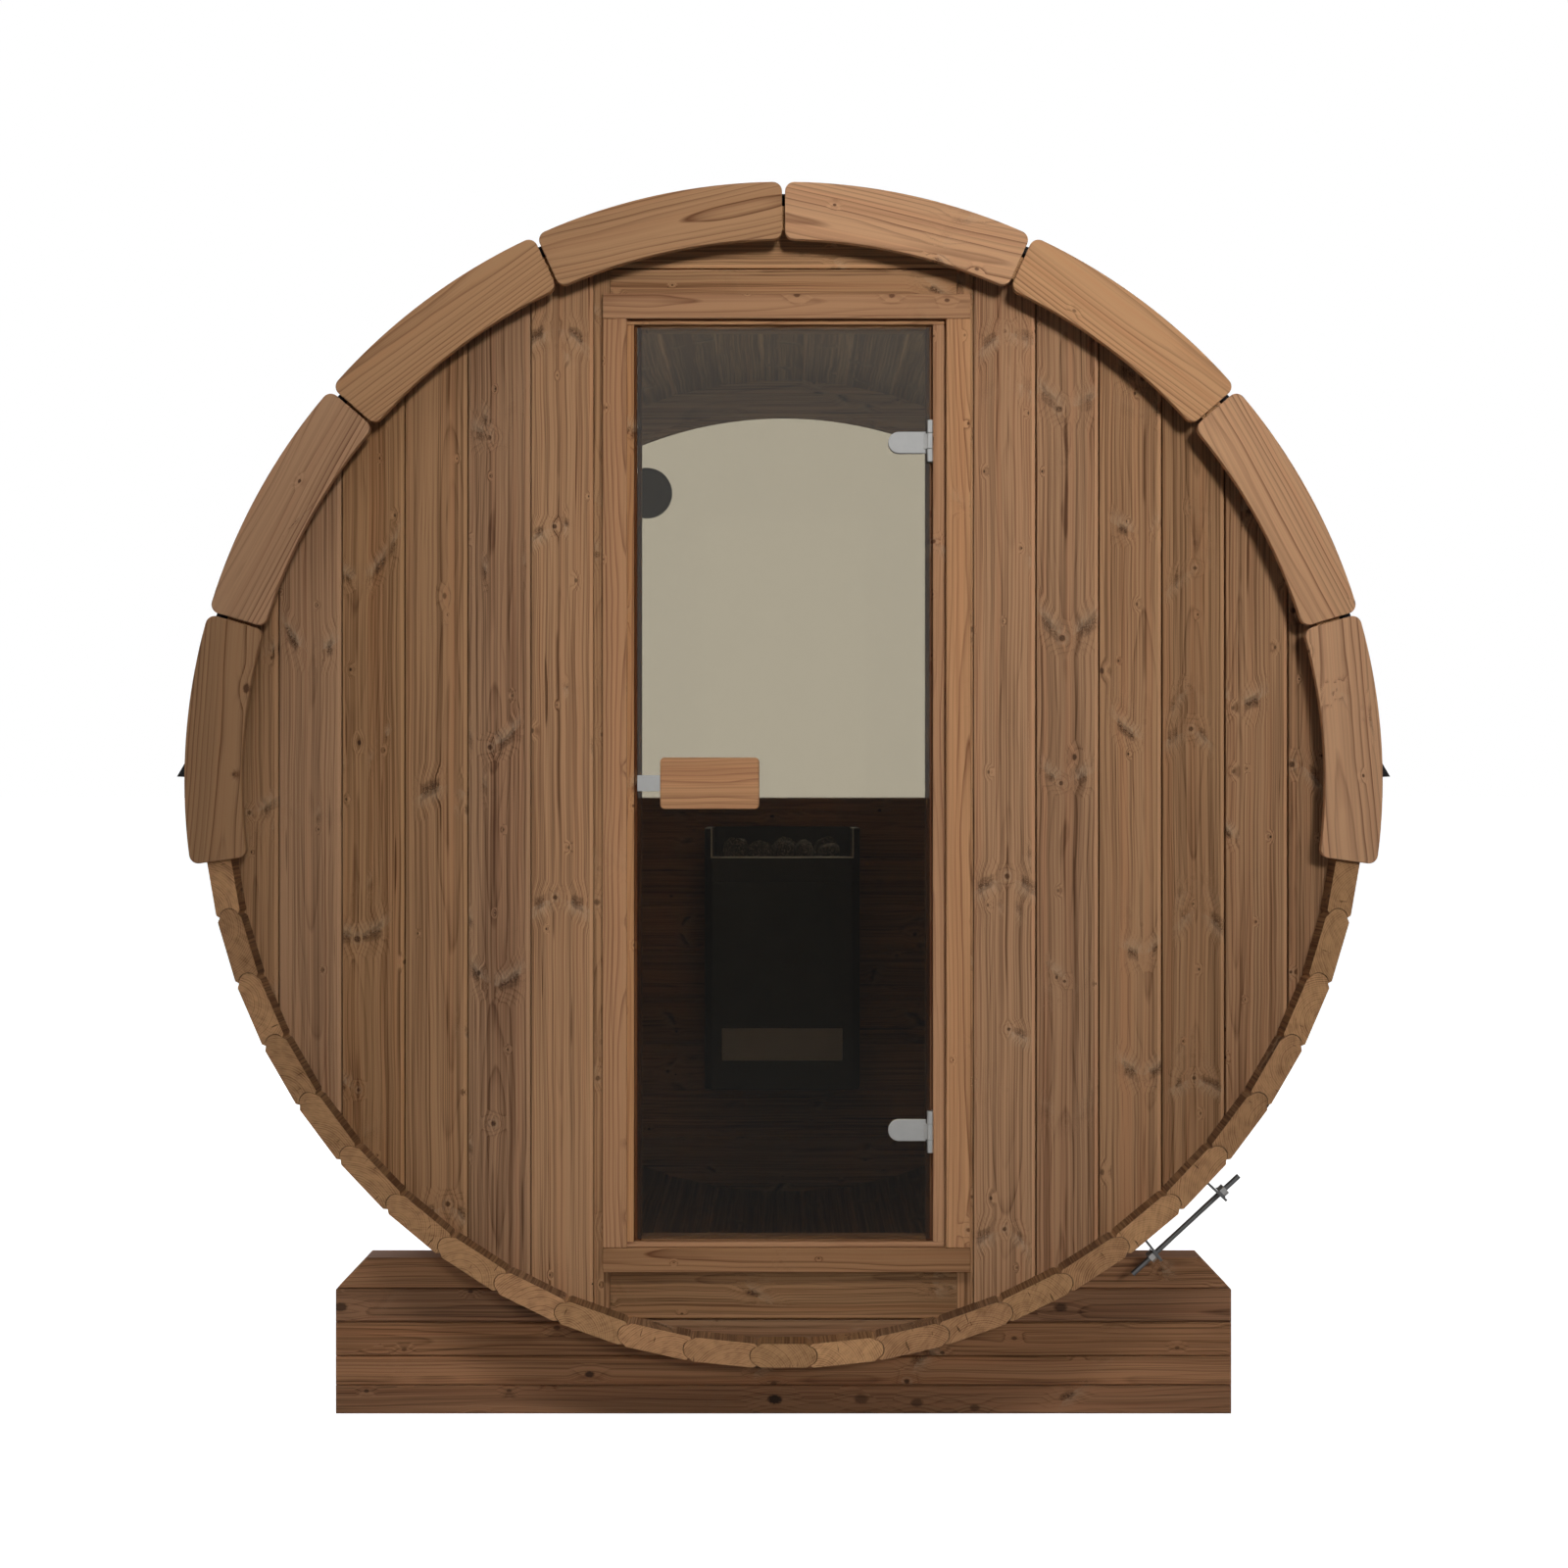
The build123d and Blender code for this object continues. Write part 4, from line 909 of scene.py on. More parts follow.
def level_board(piece, bottom, top, face, back, half_width=WALL_RADIUS, tone=0.0, rebated=False):
    """One level board across an end wall, ends on the wall's circle, its bevel on the lower edge.

    A rebated board has its outer top edge cut back for the rear window's pane.
    """
    middle = (bottom + top) / 2
    eased = bottom > RING_Z - WALL_RADIUS + MM
    plan = board_plan(-top, -bottom, face, back, eased)
    if rebated:
        cut = back + WINDOW_FACE
        edge = REBATE - top
        plan = [(u, v) for u, v in plan if v <= cut or u >= edge]
        plan = [(edge, face)] + plan + [(-top, cut), (edge, cut)]

    def reach(u, v):
        return min(half_width, half_chord(-u - RING_Z))

    # An eased board's bevel carries a painted highlight; a rebated board has none
    piece.prism(
        plan,
        lambda u, v: -reach(u, v),
        reach,
        crosswise,
        Board(tone=tone),
        log=lambda u, v, t: (t, -u - middle, abs(v - face)),
        edges=PAINTED_BEVEL_HIGHLIGHT if eased and not rebated else None,
    )


def make_front_wall():
    """Upright boards left and right of the doorway, posts, and level boards over and under it."""
    post_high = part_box("door_posts")[1].x
    seams = [post_high + BOARD_PITCH * n for n in range(BOARDS_BESIDE_DOOR)] + [WALL_RADIUS]
    # Each eased board's bevel carries a painted highlight, fainter on the left of the door than on the right
    for node, edges, painted_highlight in (
        ("front_wall_right", seams, PAINTED_BEVEL_HIGHLIGHT),
        ("front_wall_left", [-edge for edge in reversed(seams)], FAINT_BEVEL_HIGHLIGHT),
    ):
        piece = Piece(node + "_boards", "spruce_end_wall", node)
        for low, high in zip(edges, edges[1:]):
            eased = abs(high) < WALL_RADIUS - MM
            plan = board_plan(low, high, FRONT, FRONT_BACK, eased)
            upright_board(piece, plan, low, high, painted_highlight if eased else None)
        piece.build(0.8 * MM, 2, 40)

    half_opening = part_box("front_wall_head")[1].x
    posts = Piece("door_posts_timber", "spruce_end_wall", "door_posts")
    for side in (-1, 1):
        low, high = sorted((side * (half_opening + POST_GAP), side * post_high))
        upright_board(posts, rectangle(low, FRONT, high, FRONT_BACK), low, high)
    posts.build(0.8 * MM, 2, 40)

    for node, seam in (("front_wall_head", HEAD_SEAM), ("front_wall_sill", SILL_SEAM)):
        low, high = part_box(node)
        crown = RING_Z + WALL_RADIUS if node == "front_wall_head" else high.z
        foot = RING_Z - WALL_RADIUS if node == "front_wall_sill" else low.z
        piece = Piece(node + "_boards", "spruce_end_wall", node)
        # The head boards are made paler and the sill boards darker: painted light and shade
        for bottom, top in ((foot, seam), (seam, crown)):
            level_board(piece, bottom, top, FRONT, FRONT_BACK, half_opening, LEVEL_PAINTED_LIGHT_AND_SHADE[node])
        piece.build(0.8 * MM, 2, 40)


def make_trims():
    """Curved boards with rounded corners at both ends, each with its grain along its chord."""
    for node in ("front_trim", "rear_trim"):
        low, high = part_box(node)
        outer = high.x
        middle_z = high.z - outer
        inner = outer - TRIM_WIDTH
        half_gap = math.degrees(TRIM_GAP / (outer + inner))
        piece = Piece(node + "_boards", "spruce_trim", node)
        for rank in range(-TRIMS_PER_SIDE, TRIMS_PER_SIDE):
            start = 180 + rank * TRIM_ANGLE + half_gap
            end = 180 + (rank + 1) * TRIM_ANGLE - half_gap
            section = trim_edge(outer, start, end) + trim_edge(inner, end, start)
            turn = len(section) // 2
            section = round_corners(section, TRIM_CORNER, (0, turn - 1, turn, 2 * turn - 1))
            chord = math.radians((start + end) / 2)
            tangent = Vector((math.cos(chord), math.sin(chord)))
            radial = Vector((math.sin(chord), -math.cos(chord)))
            centre = radial * (outer + inner) / 2
            board = Board(0.04, 0.015, 0.06, TRIM_TONES[rank + TRIMS_PER_SIDE])

            def log(u, v, t):
                offset = Vector((u, v)) - centre
                return (offset.dot(tangent), offset.dot(radial), abs(t - low.y))

            def place(u, v, t):
                return Vector((u, t, middle_z + v))

            piece.prism(section, low.y, high.y, place, board, log=log)
        piece.build(2.0 * MM, 3, 40)


def trim_edge(radius, start, end):
    """An arc of a trim board that leaves room at both ends for its rounded corners."""
    points = arc_points(radius, start, end, TRIM_STEPS)
    return points[:1] + points[2:-2] + points[-1:]


def box_board(piece, low, high, board, level=True):
    """A straight board between two corners, its grain along X when level, else along Z."""
    along, across = (0, 2) if level else (2, 0)
    middle = (low[across] + high[across]) / 2

    def place(u, v, t):
        return Vector((t, v, u) if level else (u, v, t))

    def log(u, v, t):
        return (t, u - middle, v - low.y)

    section = rectangle(low[across], low.y, high[across], high.y)
    piece.prism(section, low[along], high[along], place, board, log=log)


def make_door_surround():
    """Casing boards and the rebated lining round the doorway."""
    for node, tone in CASING_TONES.items():
        low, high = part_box(node)
        piece = Piece(node + "_board", "door_frame_wood", node)
        box_board(piece, low, high, Board(0.03, 0.02, 0.05, tone), node in ("casing_head", "casing_sill"))
        piece.build(2.2 * MM, 3)

    casing_back = FRONT + PLAY
    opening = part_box("door_glass")[1].x + DOOR_CLEARANCE
    for node, side, nose in (("lining_left", -1, NOSE_LEFT), ("lining_right", 1, NOSE_RIGHT)):
        low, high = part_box(node)
        stop, block = sorted((side * low.x, side * high.x))
        stop_y = high.y - STOP_DEPTH
        section = [
            (opening, low.y),
            (opening + NOSE_EASE, low.y),
            (nose, low.y),
            (nose, casing_back),
            (block, casing_back),
            (block, high.y),
            (stop, high.y),
            (stop, stop_y),
            (opening, stop_y),
        ]
        piece = Piece(node + "_board", "door_frame_wood", node)
        # The reveal beside the glass is darkened at the stop's corners: painted shade
        piece.prism(
            [(side * u, v) for u, v in section],
            low.z,
            high.z,
            upright,
            Board(0.03, 0.02, 0.05),
            log=lambda u, v, t: (t, u - side * opening, v - low.y),
            edges=STOP_PAINTED_SHADE,
        )
        piece.build(1.2 * MM, 2)

    stop_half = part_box("lining_right")[0].x - PLAY
    for node, side, nose in (("lining_head", 1, NOSE_HEAD), ("lining_sill", -1, NOSE_SILL)):
        low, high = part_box(node)
        glass_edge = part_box("door_glass")[1 if side > 0 else 0].z + side * DOOR_CLEARANCE
        block, stop = (high.z, low.z) if side > 0 else (low.z, high.z)
        piece = Piece(node + "_board", "door_frame_wood", node)
        board = Board(0.03, 0.02, 0.05)
        for left, right, first, second, near, far in (
            (low.x, high.x, glass_edge, block, casing_back, high.y),
            (-stop_half, stop_half, stop, glass_edge, high.y - STOP_DEPTH, high.y),
            (-NOSE_LEFT, NOSE_RIGHT, glass_edge, nose, low.y, casing_back),
        ):
            bottom, top = sorted((first, second))
            box_board(piece, Vector((left, near, bottom)), Vector((right, far, top)), board)
        piece.build(1.2 * MM, 2)


def make_door():
    """The glass leaf with its wooden handle and its latch strip."""
    low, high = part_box("door_glass")
    pane = Piece("door_glass_pane", "tinted_glass", "door_glass", body="door")
    pane.prism(rectangle(low.x, low.z, high.x, high.z), low.y, high.y)
    pane.build(0.8 * MM, 2)

    low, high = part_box("door_handle")
    handle = Piece("door_handle_plates", "handle_wood", "door_handle", body="door")
    outline = round_corners(rectangle(low.x, low.z, high.x, high.z), HANDLE_CORNER, steps=8)
    centre_z = (low.z + high.z) / 2
    for near, far in ((low.y, low.y + HANDLE_THICKNESS), (high.y - HANDLE_THICKNESS, high.y)):
        board = Board(0.02, 0.03, 0.06)
        handle.prism(outline, near, far, board=board, log=lambda u, v, t: (u, v - centre_z, abs(t - low.y)))
    handle.build(2.5 * MM, 4)

    low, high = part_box("latch_plate")
    latch = Piece("latch_strip", "satin_steel", "latch_plate", body="door")
    bend = low.x + LATCH_FLAT
    front_flat = high.y - LATCH_THICKNESS
    section = [
        (low.x, high.y),
        (bend, high.y),
        (high.x, low.y + LATCH_THICKNESS),
        (high.x, low.y),
        (bend, front_flat),
        (low.x, front_flat),
    ]
    latch.prism(section, low.z, high.z, upright)
    latch.build(0.6 * MM, 2, 20)


def make_hinges():
    """Clamps that grip the glass, riding on the door, and the leaves that stay on the lining."""
    low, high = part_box("hinge_clamps")
    leaf_low, leaf_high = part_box("hinge_leaves")
    glass_low, glass_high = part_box("door_glass")
    pivot_x = glass_high.x
    pivot_y = leaf_low.y + KNUCKLE_RADIUS
    clamp_face = glass_low.y - CLAMP_THICKNESS
    clamp_end = pivot_x - CLAMP_SETBACK
    neck = [
        (clamp_end - NECK_LAP, clamp_face),
        (pivot_x, pivot_y - NECK_HALF),
        (pivot_x, pivot_y + NECK_HALF),
        (clamp_end - NECK_LAP, glass_low.y - 0.5 * MM),
    ]
    knuckle = circle((pivot_x, pivot_y), KNUCKLE_RADIUS)
    leaf_left = leaf_high.x - LEAF_THICKNESS
    flange = rectangle(leaf_left, pivot_y, leaf_high.x, leaf_high.y)
    web = rectangle(leaf_left, pivot_y + KNUCKLE_RADIUS + MM, leaf_high.x, leaf_high.y)
    half = CLAMP_HEIGHT / 2
    half_middle = KNUCKLE_MIDDLE / 2
    ear_start = half_middle + KNUCKLE_PLAY
    ear = (KNUCKLE_HEIGHT - KNUCKLE_MIDDLE) / 2 - KNUCKLE_PLAY

    clamps = Piece("hinge_clamp_plates", "satin_steel", "hinge_clamps", body="door")
    leaves = Piece("hinge_leaf_plates", "satin_steel", "hinge_leaves")
    for clamp_z, middle_z in (
        (high.z - half, leaf_high.z - KNUCKLE_HEIGHT / 2),
        (low.z + half, leaf_low.z + KNUCKLE_HEIGHT / 2),
    ):
        turns = [math.pi * n / CLAMP_STEPS for n in range(CLAMP_STEPS + 1)]
        nose = [(low.x + half - half * math.sin(a), clamp_z + half * math.cos(a)) for a in turns]
        for near, far, right in (
            (clamp_face, glass_low.y, clamp_end),
            (glass_high.y, glass_high.y + CLAMP_THICKNESS, pivot_x - CLAMP_BACK_SETBACK),
        ):
            clamps.prism(nose + [(right, clamp_z - half), (right, clamp_z + half)], near, far)
        for section in (neck, knuckle):
            clamps.prism(section, middle_z - half_middle, middle_z + half_middle, upright)
        for side in (-1, 1):
            start = middle_z + side * ear_start
            for section in (knuckle, flange):
                leaves.prism(section, *sorted((start, start + side * ear)), upright)
        leaves.prism(web, middle_z - ear_start, middle_z + ear_start, upright)
    clamps.build(0.9 * MM, 3, 35)
    leaves.build(0.6 * MM, 2, 35)


def board_seams(edge, seam, end, pitch):
    """Heights of the boards' edges: the wall's edge, seams one pitch apart and the wall's end."""
    seams = [edge]
    while (end - seam) * pitch > 0:
        seams.append(seam)
        seam += pitch
    return seams + [end]


def make_rear_wall():
    """Level boards under the rear window and round it."""
    window_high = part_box("window_glass")[1]
    rebate = window_high.x + PLAY
    opening = rebate - REBATE
    window_z = window_high.z - window_high.x
    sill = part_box("rear_wall_lower")[1].z

    lower = Piece("rear_wall_lower_boards", "spruce_end_wall", "rear_wall_lower")
    seams = board_seams(sill, sill - REAR_SEAM_DROP, RING_Z - WALL_RADIUS, -BOARD_PITCH)
    for top, bottom in zip(seams, seams[1:]):
        level_board(lower, bottom, top, REAR, REAR_BACK, rebated=top == sill)
    lower.build(0.8 * MM, 2, 40)

    upper = Piece("rear_wall_upper_boards", "spruce_end_wall", "rear_wall_upper")
    seams = board_seams(sill + PLAY, sill - REAR_SEAM_DROP + BOARD_PITCH, RING_Z + WALL_RADIUS, BOARD_PITCH)
    for bottom, top in zip(seams, seams[1:]):
        crescent(upper, bottom, top, (WALL_RADIUS, RING_Z), (rebate, window_z), REAR)
        crescent(upper, bottom, top, (rebate, window_z), (opening, window_z), REAR_BACK + WINDOW_FACE)
    upper.build(0.6 * MM, 1, 40)


def crescent(piece, bottom, top, outer_circle, inner_circle, far):
    """The parts of a level board that lie between two circles, each given as (radius, height)."""
    outer, outer_z = outer_circle
    inner, inner_z = inner_circle
    low = max(bottom + UPPER_GAP, outer_z - outer)
    high = min(top - UPPER_GAP, outer_z + outer - PLAY)
    if high <= low:
        return
    levels = [low + (high - low) * n / BOARD_STEPS for n in range(BOARD_STEPS + 1)]
    outside = [(half_chord(z - outer_z, outer), z) for z in levels]
    inside = [(half_chord(z - inner_z, inner), z) for z in levels]
    middle = (low + high) / 2
    board = Board()
    if inside[-1][0] > 0:
        ring = outside + inside[::-1]
        outlines = (flip(ring), ring)
    else:
        edge = [point for point in inside if point[0] > 0]
        crown = [(0.0, inner_z + inner)] if edge else []
        outlines = (outside + flip(outside[::-1]) + flip(edge) + crown + edge[::-1],)
    for outline in outlines:
        piece.prism(outline, REAR_BACK, far, board=board, log=lambda u, v, t: (u, v - middle, far - t))


def half_moon(centre_z, radius, bottom, steps=96):
    """Outline of a half-moon flat along the bottom, as (x, z) points."""
    drop = math.asin((bottom - centre_z) / radius)
    turns = [drop + (math.pi - 2 * drop) * n / steps for n in range(steps + 1)]
    return [(radius * math.cos(a), centre_z + radius * math.sin(a)) for a in turns]


def make_rear_window():
    """The half-moon pane, the bead round it and the round vent."""
    window_low, window_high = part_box("window_glass")
    window_z = window_high.z - window_high.x
    pane = Piece("window_pane", "window_glass", "window_glass")
    pane.prism(half_moon(window_z, window_high.x, window_low.z), window_low.y, window_high.y)
    pane.build(0.8 * MM, 2)

    low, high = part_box("window_frame")
    bead = Piece("window_bead", "door_frame_wood", "window_frame")
    outside = half_moon(window_z, high.x, low.z)
    inside = half_moon(window_z, window_high.x + PLAY - REBATE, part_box("rear_wall_lower")[1].z)
    for index in range(len(outside)):
        following = (index + 1) % len(outside)
        if index % BEAD_PARTS == 0:
            board = Board(0.03, 0.02, 0.05)
        section = [outside[index], outside[following], inside[following], inside[index]]
        bead.prism(section, low.y, high.y, board=board)
    bead.build()

    low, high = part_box("window_vent")
    # The vent's enamel is a paler copy of the black enamel: painted light
    vent = Piece("window_vent_plates", "vent_enamel", "window_vent")
    centre = ((low.x + high.x) / 2, (low.z + high.z) / 2)
    radius = (high.x - low.x) / 2
    vent.prism(circle(centre, radius, VENT_STEPS), low.y, window_low.y - PLAY)
    vent.prism(circle(centre, VENT_INNER * radius, VENT_STEPS), window_high.y + PLAY, high.y)
    vent.prism(circle(centre, VENT_NECK * radius), window_low.y - MM, window_high.y + MM)
    vent.build(3.0 * MM, 4, 40)


def make_heater():
    """The wall-hung heater: folded case, rimmed stone tray, stones and a pale panel."""
    low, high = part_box("heater_body")
    case = Piece("heater_case", "black_enamel", "heater_body")
    left, right = low.x + HEATER_CORNER, high.x - HEATER_CORNER
    bend = low.y + HEATER_CORNER
    floor_z = high.z - TRAY_DEPTH
    front_z = high.z - TRAY_FRONT_DROP
    corners = [(low.x, bend), (left, low.y), (right, low.y), (high.x, bend)]
    case.prism([(low.x, high.y), *corners, (high.x, high.y)], low.z, floor_z, upright)
    for plan, top in (
        (rectangle(low.x, bend, left, high.y), high.z),
        (rectangle(right, bend, high.x, high.y), high.z),
        (rectangle(left, high.y - HEATER_SHEET, right, high.y), high.z),
        (rectangle(left, low.y, right, low.y + HEATER_SHEET), front_z),
        ([(low.x, bend), (left, low.y), (left, bend)], high.z),
        ([(high.x, bend), (right, low.y), (right, bend)], high.z),
    ):
        case.prism(plan, floor_z, top, upright)
    case.build(2.0 * MM, 3)

    rim = Piece("heater_tray_rim", "satin_steel")
    for first, last, bottom, top in (
        (left - RIM_BAR, left, front_z, high.z),
        (right, right + RIM_BAR, front_z, high.z),
        (left - RIM_BAR, right + RIM_BAR, front_z - RIM_BAR, front_z),
    ):
        rim.prism(rectangle(first, low.y - RIM_BAR, last, low.y), bottom, top, upright)
    rim.build(1.0 * MM, 2)

    low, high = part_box("heater_panel")
    panel = Piece("heater_front_panel", "grey_enamel", "heater_panel")
    panel.prism(round_corners(rectangle(low.x, low.z, high.x, high.z), PANEL_CORNER), low.y, high.y)
    panel.build(1.2 * MM, 3)

    low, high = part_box("heater_stones")
    stones = Piece("heater_stone_heap", "stone", "heater_stones")
    most_columns, most_rows = STONE_LAYERS[0]
    for layer, (columns, rows) in enumerate(STONE_LAYERS):
        for row in range(rows):
            for column in range(columns):
                size = draws.uniform(*STONE_SIZES)
                x = low.x + size + (high.x - low.x - 2 * size) * (column + 0.5 * layer) / (most_columns - 1)
                y = low.y + size + (high.y - low.y - 2 * size) * (row + 0.5 * layer) / (most_rows - 1)
                z = low.z + size * 0.8 + layer * draws.uniform(*STONE_RISES)
                add_stone(stones, Vector((x, y, z)), size)
    stones.build()


def add_stone(piece, centre, size):
    """A broken stone: a subdivided icosahedron flattened by a few random planes."""
    work = bmesh.new()
    bmesh.ops.create_icosphere(work, subdivisions=2, radius=1.0)
    cuts = [Vector([draws.gauss(0, 1) for _ in range(3)]).normalized() for _ in range(STONE_CUTS)]
    depths = [draws.uniform(*STONE_DEPTHS) for _ in cuts]
    stretch = Vector([draws.uniform(*STONE_STRETCH) for _ in range(3)])
    for vert in work.verts:
        for normal, depth in zip(cuts, depths):
            over = vert.co.dot(normal) - depth
            if over > 0:
                vert.co -= normal * over
    points = [centre + Vector([a * b * size for a, b in zip(vert.co, stretch)]) for vert in work.verts]
    faces = [[vert.index for vert in face.verts] for face in work.faces]
    work.free()
    piece.add(points, faces)


def make_cradles():
    """Two cradles of level boards, sawn to the barrel and cut off at their top corners."""
    for node in ("cradle_front", "cradle_rear"):
        low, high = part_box(node)
        piece = Piece(node + "_boards", "spruce_cradle", node)
        levels = [low.z, *CRADLE_SEAMS, high.z]
        for bottom, top in zip(levels, levels[1:]):
            board = Board(0.04, 0.02, 0.05)
            middle = (bottom + top) / 2
            bottom += CRADLE_GAP if bottom > low.z else 0
            top -= CRADLE_GAP if top < high.z else 0
            for outline in cradle_outlines(bottom, top, high):
                eased = [ease(point, bottom, top, high) for point in outline]
                layers = (
                    (low.y, eased),
                    (low.y + CRADLE_EASE, outline),
                    (high.y - CRADLE_EASE, outline),
                    (high.y, eased),
                )
                rings = [[Vector((x, y, z)) for x, z in ring] for y, ring in layers]
                grain = [(x, z - middle, y - low.y) for y, ring in layers for x, z in ring]
                piece.loft(rings, grain, board)
        piece.build(angle=20)


def ease(point, bottom, top, high):
    """Draws a point in from the level edges and the outer ends of a cradle board."""
    x, z = point
    if abs(x) > high.x - CHAMFER_WIDE - MM:
        x -= math.copysign(CRADLE_EASE, x)
    if z == bottom:
        z += CRADLE_EASE
    elif z == top:
        z -= CRADLE_EASE
    return x, z


def cradle_outlines(bottom, top, high):
    """Outlines of one cradle board: whole, notched by the barrel, or two ends beside it."""
    floor_z = RING_Z - SEAT_RADIUS
    corner_z = high.z - CHAMFER_HIGH
    heights = [bottom, corner_z, top] if bottom < corner_z < top else [bottom, top]
    right = [(high.x - max(z - corner_z, 0) / CHAMFER_HIGH * CHAMFER_WIDE, z) for z in heights]
    if top <= floor_z:
        return [right + flip(right[::-1])]
    start = max(bottom, floor_z)
    levels = [top - (top - start) * n / SEAT_STEPS for n in range(SEAT_STEPS)]
    seat = [(half_chord(RING_Z - z, SEAT_RADIUS), z) for z in levels]
    if bottom < floor_z:
        return [right + seat + [(0.0, floor_z)] + flip(seat[::-1]) + flip(right[::-1])]
    end = right + seat + [(half_chord(RING_Z - start, SEAT_RADIUS), bottom)]
    return [end, flip(end[::-1])]


def rod_frame(angle, offset, middle_y):
    """Places (u, v, t) about a rod square to a ray: t runs along the rod, upwards on the right."""
    a = math.radians(angle)
    x, z = on_ray(angle, offset)
    middle = Vector((x, middle_y, RING_Z + z))
    forward = Vector((math.cos(a), 0, math.sin(a)))
    outward = Vector((math.sin(a), 0, -math.cos(a)))

    def place(u, v, t):
        return middle + forward * t + outward * u + Vector((0, v, 0))

    return place


def on_facets(angle, apothem):
    """How far from the ring's middle a strap lies at an angle, being flat on the staves' faces."""
    offset = (angle - FIRST_HALF) % PITCH - PITCH / 2
    return apothem / math.cos(math.radians(offset))


def make_bands():
    """Steel straps over the staves with their tabs, threaded tensioners and rubber pads."""
    low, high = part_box("bands")
    straps = Piece("band_straps", "dark_steel", "bands")
    rods = Piece("band_rods", "dark_steel", "band_tensioners")
    pads = Piece("band_pad_strips", "black_rubber", "band_pads")
    inner = strap_path(BAND_APOTHEM)
    outer = strap_path(BAND_APOTHEM + BAND_THICKNESS)
    half = BAND_WIDTH / 2
    tab = round_corners(rectangle(0, -half, TAB_HEIGHT, half), TAB_CORNER, (1, 2))
    half_tab = TAB_THICKNESS / 2
    rod_reach = ROD_OFFSET * math.tan(math.radians(TAB_UPPER - TAB_LOWER) / 2) + half_tab
    washer = circle((0, 0), WASHER_RADIUS, 40)
    nut = circle((0, 0), NUT_RADIUS, 6)
    pad_radius = (BAND_APOTHEM + BAND_THICKNESS) / math.cos(math.radians(PITCH / 2)) + PLAY
    pad = arc_points(pad_radius, PAD_START, PAD_END, PAD_STEPS)
    pad += arc_points(pad_radius + PAD_THICKNESS, PAD_END, PAD_START, PAD_STEPS)
    for middle_y in (low.y + half, high.y - half):
        near, far = middle_y - half, middle_y + half
        for index in range(len(inner) - 1):
            section = [inner[index], inner[index + 1], outer[index + 1], outer[index]]
            straps.prism([(x, RING_Z + z) for x, z in section], near, far)
        for angle in (TAB_UPPER, TAB_LOWER):
            place = rod_frame(angle, on_facets(angle, BAND_APOTHEM), middle_y)
            straps.prism(tab, -half_tab, half_tab, place)

        place = rod_frame((TAB_UPPER + TAB_LOWER) / 2, ROD_OFFSET, middle_y)
        threaded_rod(rods, place)
        for side in (-1, 1):
            ends = [side * rod_reach, side * (rod_reach + WASHER_HEIGHT)]
            rods.prism(washer, *sorted(ends), place, end_slot="satin_steel")
            ends = [ends[1], side * (rod_reach + WASHER_HEIGHT + NUT_HEIGHT)]
            rods.prism(nut, *sorted(ends), place, slot="satin_steel")
        pads.prism([(x, RING_Z + z) for x, z in pad], near, far)
    straps.build(0.3 * MM, 1, 40)
    rods.build()
    pads.build(1.0 * MM, 2, 40)


def strap_path(apothem):
    """One face of a strap in the ring plane, from the upper tab over the top to the lower one."""
    joints = [FIRST_HALF + n * PITCH for n in range(SIDE_STAVES + 1)] + [SIDE_TOP + CLOSING_PITCH]
    joints += [-angle for angle in joints]
    turns = sorted(angle if angle > TAB_UPPER else angle + 360 for angle in joints)
    corner = apothem / math.cos(math.radians(PITCH / 2))
    path = [on_ray(TAB_UPPER, on_facets(TAB_UPPER, apothem))]
    path += [on_ray(angle, corner) for angle in turns if angle < TAB_LOWER + 360]
    return path + [on_ray(TAB_LOWER, on_facets(TAB_LOWER, apothem))]


def threaded_rod(piece, place):
    """A rod with a plain shank in the middle and a helical thread towards both ends."""
    rings = []
    step = THREAD_PITCH / 4
    t = -ROD_HALF
    while t <= ROD_HALF + step / 2:
        threaded = abs(t) > ROD_SHANK
        ring = []
        for n in range(ROD_SIDES):
            share = n / ROD_SIDES
            phase = (t / THREAD_PITCH + share) % 1.0
            radius = ROD_RADIUS - (abs(2 * phase - 1) * THREAD_DEPTH if threaded else SHANK_DEPTH)
            a = 2 * math.pi * share
            ring.append(place(radius * math.cos(a), radius * math.sin(a), t - ROD_SLIP))
        rings.append(ring)
        if threaded or t <= -ROD_SHANK:
            t += step
        else:
            t += min(step * 8, max(step, ROD_SHANK - t))
    piece.loft(rings)


def roof_radius(rise):
    """The radius of a shingle's underside, rise degrees above its lower edge."""
    return ROOF_BASE + SHINGLE_LAP * (2 - rise / EXPOSURE)


def make_roof():
    """Lapped shingle tabs on both sides, a folded ridge, and the drip edges of the frame."""
    for side_name, side in (("left", -1), ("right", 1)):
        for parity, word in ((0, "even"), (1, "odd")):
            node = "roof_" + side_name + "_" + word
            piece = Piece(node + "_shingles", "bitumen_shingle", node)
            for course in range(parity, COURSES, 2):
                add_course(piece, side, course)
            piece.build(1.2 * MM, 2, 40)
    make_ridge()
    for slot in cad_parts["roof_eaves"].material_slots:
        slot.material = MATERIALS["bitumen_shingle"]


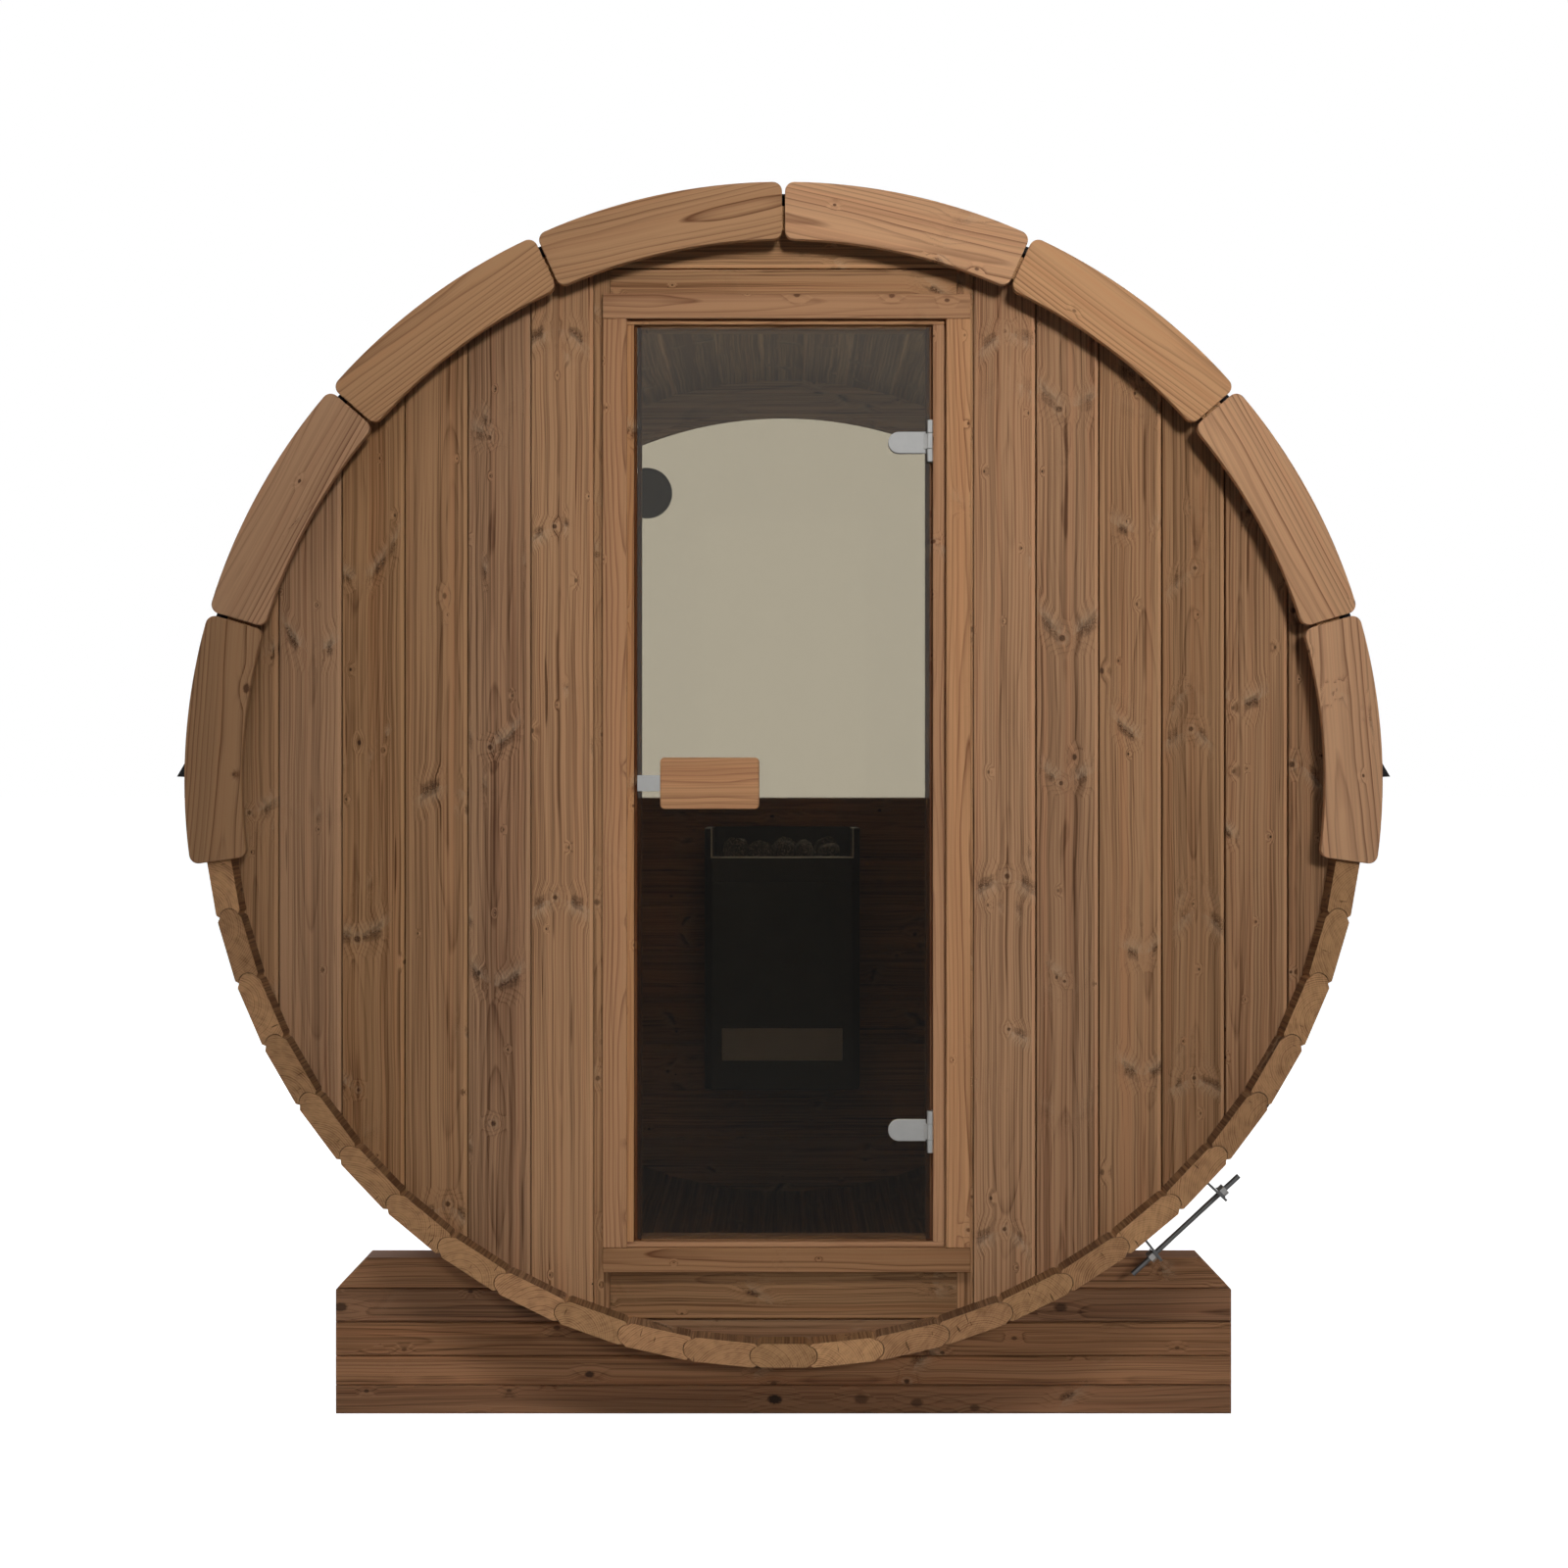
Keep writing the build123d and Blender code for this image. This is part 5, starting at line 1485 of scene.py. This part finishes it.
def add_course(piece, side, course):
    """One course of shingle tabs, every second course shifted by half a tab."""
    start = ROOF_START + course * EXPOSURE
    span = min(2 * EXPOSURE, ROOF_TOP - start)
    tab = 2 * HALF_LENGTH / TABS
    edges = [-HALF_LENGTH + (n + 0.5 * (course % 2)) * tab for n in range(TABS + 1)]
    edges = [edge for edge in edges if abs(edge) < HALF_LENGTH - SHORTEST_TAB]
    edges = [-HALF_LENGTH, *edges, HALF_LENGTH]
    for near, far in zip(edges, edges[1:]):
        drop = draws.uniform(0, SHINGLE_DROP)
        lift = draws.uniform(0, SHINGLE_LIFT)
        under, over = [], []
        for n in range(SHINGLE_STEPS + 1):
            share = n / SHINGLE_STEPS
            rise = drop + (span - drop) * share
            radius = roof_radius(rise) + lift * (1 - share)
            a = math.radians(start + rise)
            for points, reach in ((under, radius), (over, radius + SHINGLE - lift)):
                points.append((side * reach * math.cos(a), RING_Z + reach * math.sin(a)))
        first = near + (SLOT / 2 if near > -HALF_LENGTH else 0)
        last = far - (SLOT / 2 if far < HALF_LENGTH else 0)
        piece.prism(under + over[::-1], first, last)


def make_ridge():
    """Folded caps along the ridge, each lapping over the next."""
    low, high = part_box("roof_ridge")
    ridge = Piece("roof_ridge_caps", "bitumen_shingle", "roof_ridge")
    half_angle = 90 - ROOF_START - COURSES * EXPOSURE
    edge_radius = roof_radius(0)
    crown_radius = roof_radius(half_angle + EXPOSURE) + SHINGLE_LAP
    pitch = (high.y - low.y) / RIDGE_CAPS
    for n in range(RIDGE_CAPS):
        near = low.y + n * pitch
        far = min(near + pitch * RIDGE_LAP, high.y)
        rings = []
        for y, lift in ((near, RIDGE_LIFT), (far, 0.0)):
            under, over = [], []
            for k in range(-RIDGE_HALF_STEPS, RIDGE_HALF_STEPS + 1):
                share = k / RIDGE_HALF_STEPS
                a = math.radians(90 - half_angle * share)
                radius = crown_radius + (edge_radius - crown_radius) * abs(share) + lift
                for points, reach in ((under, radius), (over, radius + SHINGLE - RIDGE_LIFT)):
                    points.append(Vector((reach * math.cos(a), y, RING_Z + reach * math.sin(a))))
            rings.append(under + over[::-1])
        ridge.loft(rings)
    ridge.build(0.8 * MM, 2, 40)


def make_light(name, place, aim, size, power, spread=180.0, colour=(1, 1, 1), unseen=("glossy",)):
    """A soft square light that points at aim, narrowed to a beam by its spread."""
    lamp = bpy.data.lights.new(name, "AREA")
    lamp.size = size
    lamp.energy = power
    lamp.color = colour
    lamp.spread = math.radians(spread)
    holder = bpy.data.objects.new(name, lamp)
    holder.location = place
    holder.rotation_euler = (Vector(aim) - Vector(place)).to_track_quat("-Z", "Y").to_euler()
    bpy.context.scene.collection.objects.link(holder)
    for ray in unseen:
        setattr(holder, "visible_" + ray, False)


def make_floor():
    """A pale floor that shines white to the camera and faintly in mirrors."""
    mesh = bpy.data.meshes.new("studio_floor")
    corners = rectangle(-FLOOR_REACH, -FLOOR_REACH, FLOOR_REACH, FLOOR_REACH)
    mesh.from_pydata([(x, y, 0) for x, y in corners], [], [(0, 1, 2, 3)])
    floor = bpy.data.objects.new("studio_floor", mesh)
    bpy.context.scene.collection.objects.link(floor)
    g = new_graph("studio_floor")
    path = g.add("ShaderNodeLightPath").outputs
    mirrored = g.math("MULTIPLY", path["Is Glossy Ray"], FLOOR_MIRRORED)
    mesh.materials.append(
        g.finish(
            base_color=g.mix(g.noise(g.place(), 0.8, 2.0), tint(206, 206, 206), tint(212, 212, 212)),
            roughness=0.9,
            specular_ior_level=0.0,
            emission_color=tint(255, 255, 255),
            emission_strength=g.most(path["Is Camera Ray"], mirrored) * FLOOR_GLOW,
        )
    )


def make_studio():
    """White surroundings that light the barrel only faintly, soft lights and the photograph's camera."""
    world = bpy.data.worlds.new("studio")
    g = Graph(world)
    path = g.add("ShaderNodeLightPath").outputs
    seen = g.most(path["Is Camera Ray"], path["Is Transmission Ray"])
    seen = g.most(seen, g.math("MULTIPLY", path["Is Glossy Ray"], GLOSS_SKY))
    sky = g.add("ShaderNodeBackground", {"Color": (1, 1, 1, 1), "Strength": seen * (1.0 - SKY) + SKY})
    g.add("ShaderNodeOutputWorld", {"Surface": sky.outputs[0]})
    bpy.context.scene.world = world
    bpy.context.scene.view_settings.view_transform = "Standard"

    for name, light in LIGHTS.items():
        make_light(name, **light)

    data = bpy.data.cameras.new("view")
    data.lens = LENS
    data.sensor_width = SENSOR
    data.shift_x = HALF_PIXEL
    camera = bpy.data.objects.new("view", data)
    camera.location = CAMERA
    camera.rotation_euler = (math.radians(90), 0, 0)
    bpy.context.scene.collection.objects.link(camera)
    bpy.context.scene.camera = camera


make_staves()
make_front_wall()
make_trims()
make_door_surround()
make_door()
make_hinges()
make_rear_wall()
make_rear_window()
make_heater()
make_cradles()
make_bands()
make_roof()
make_floor()
make_studio()
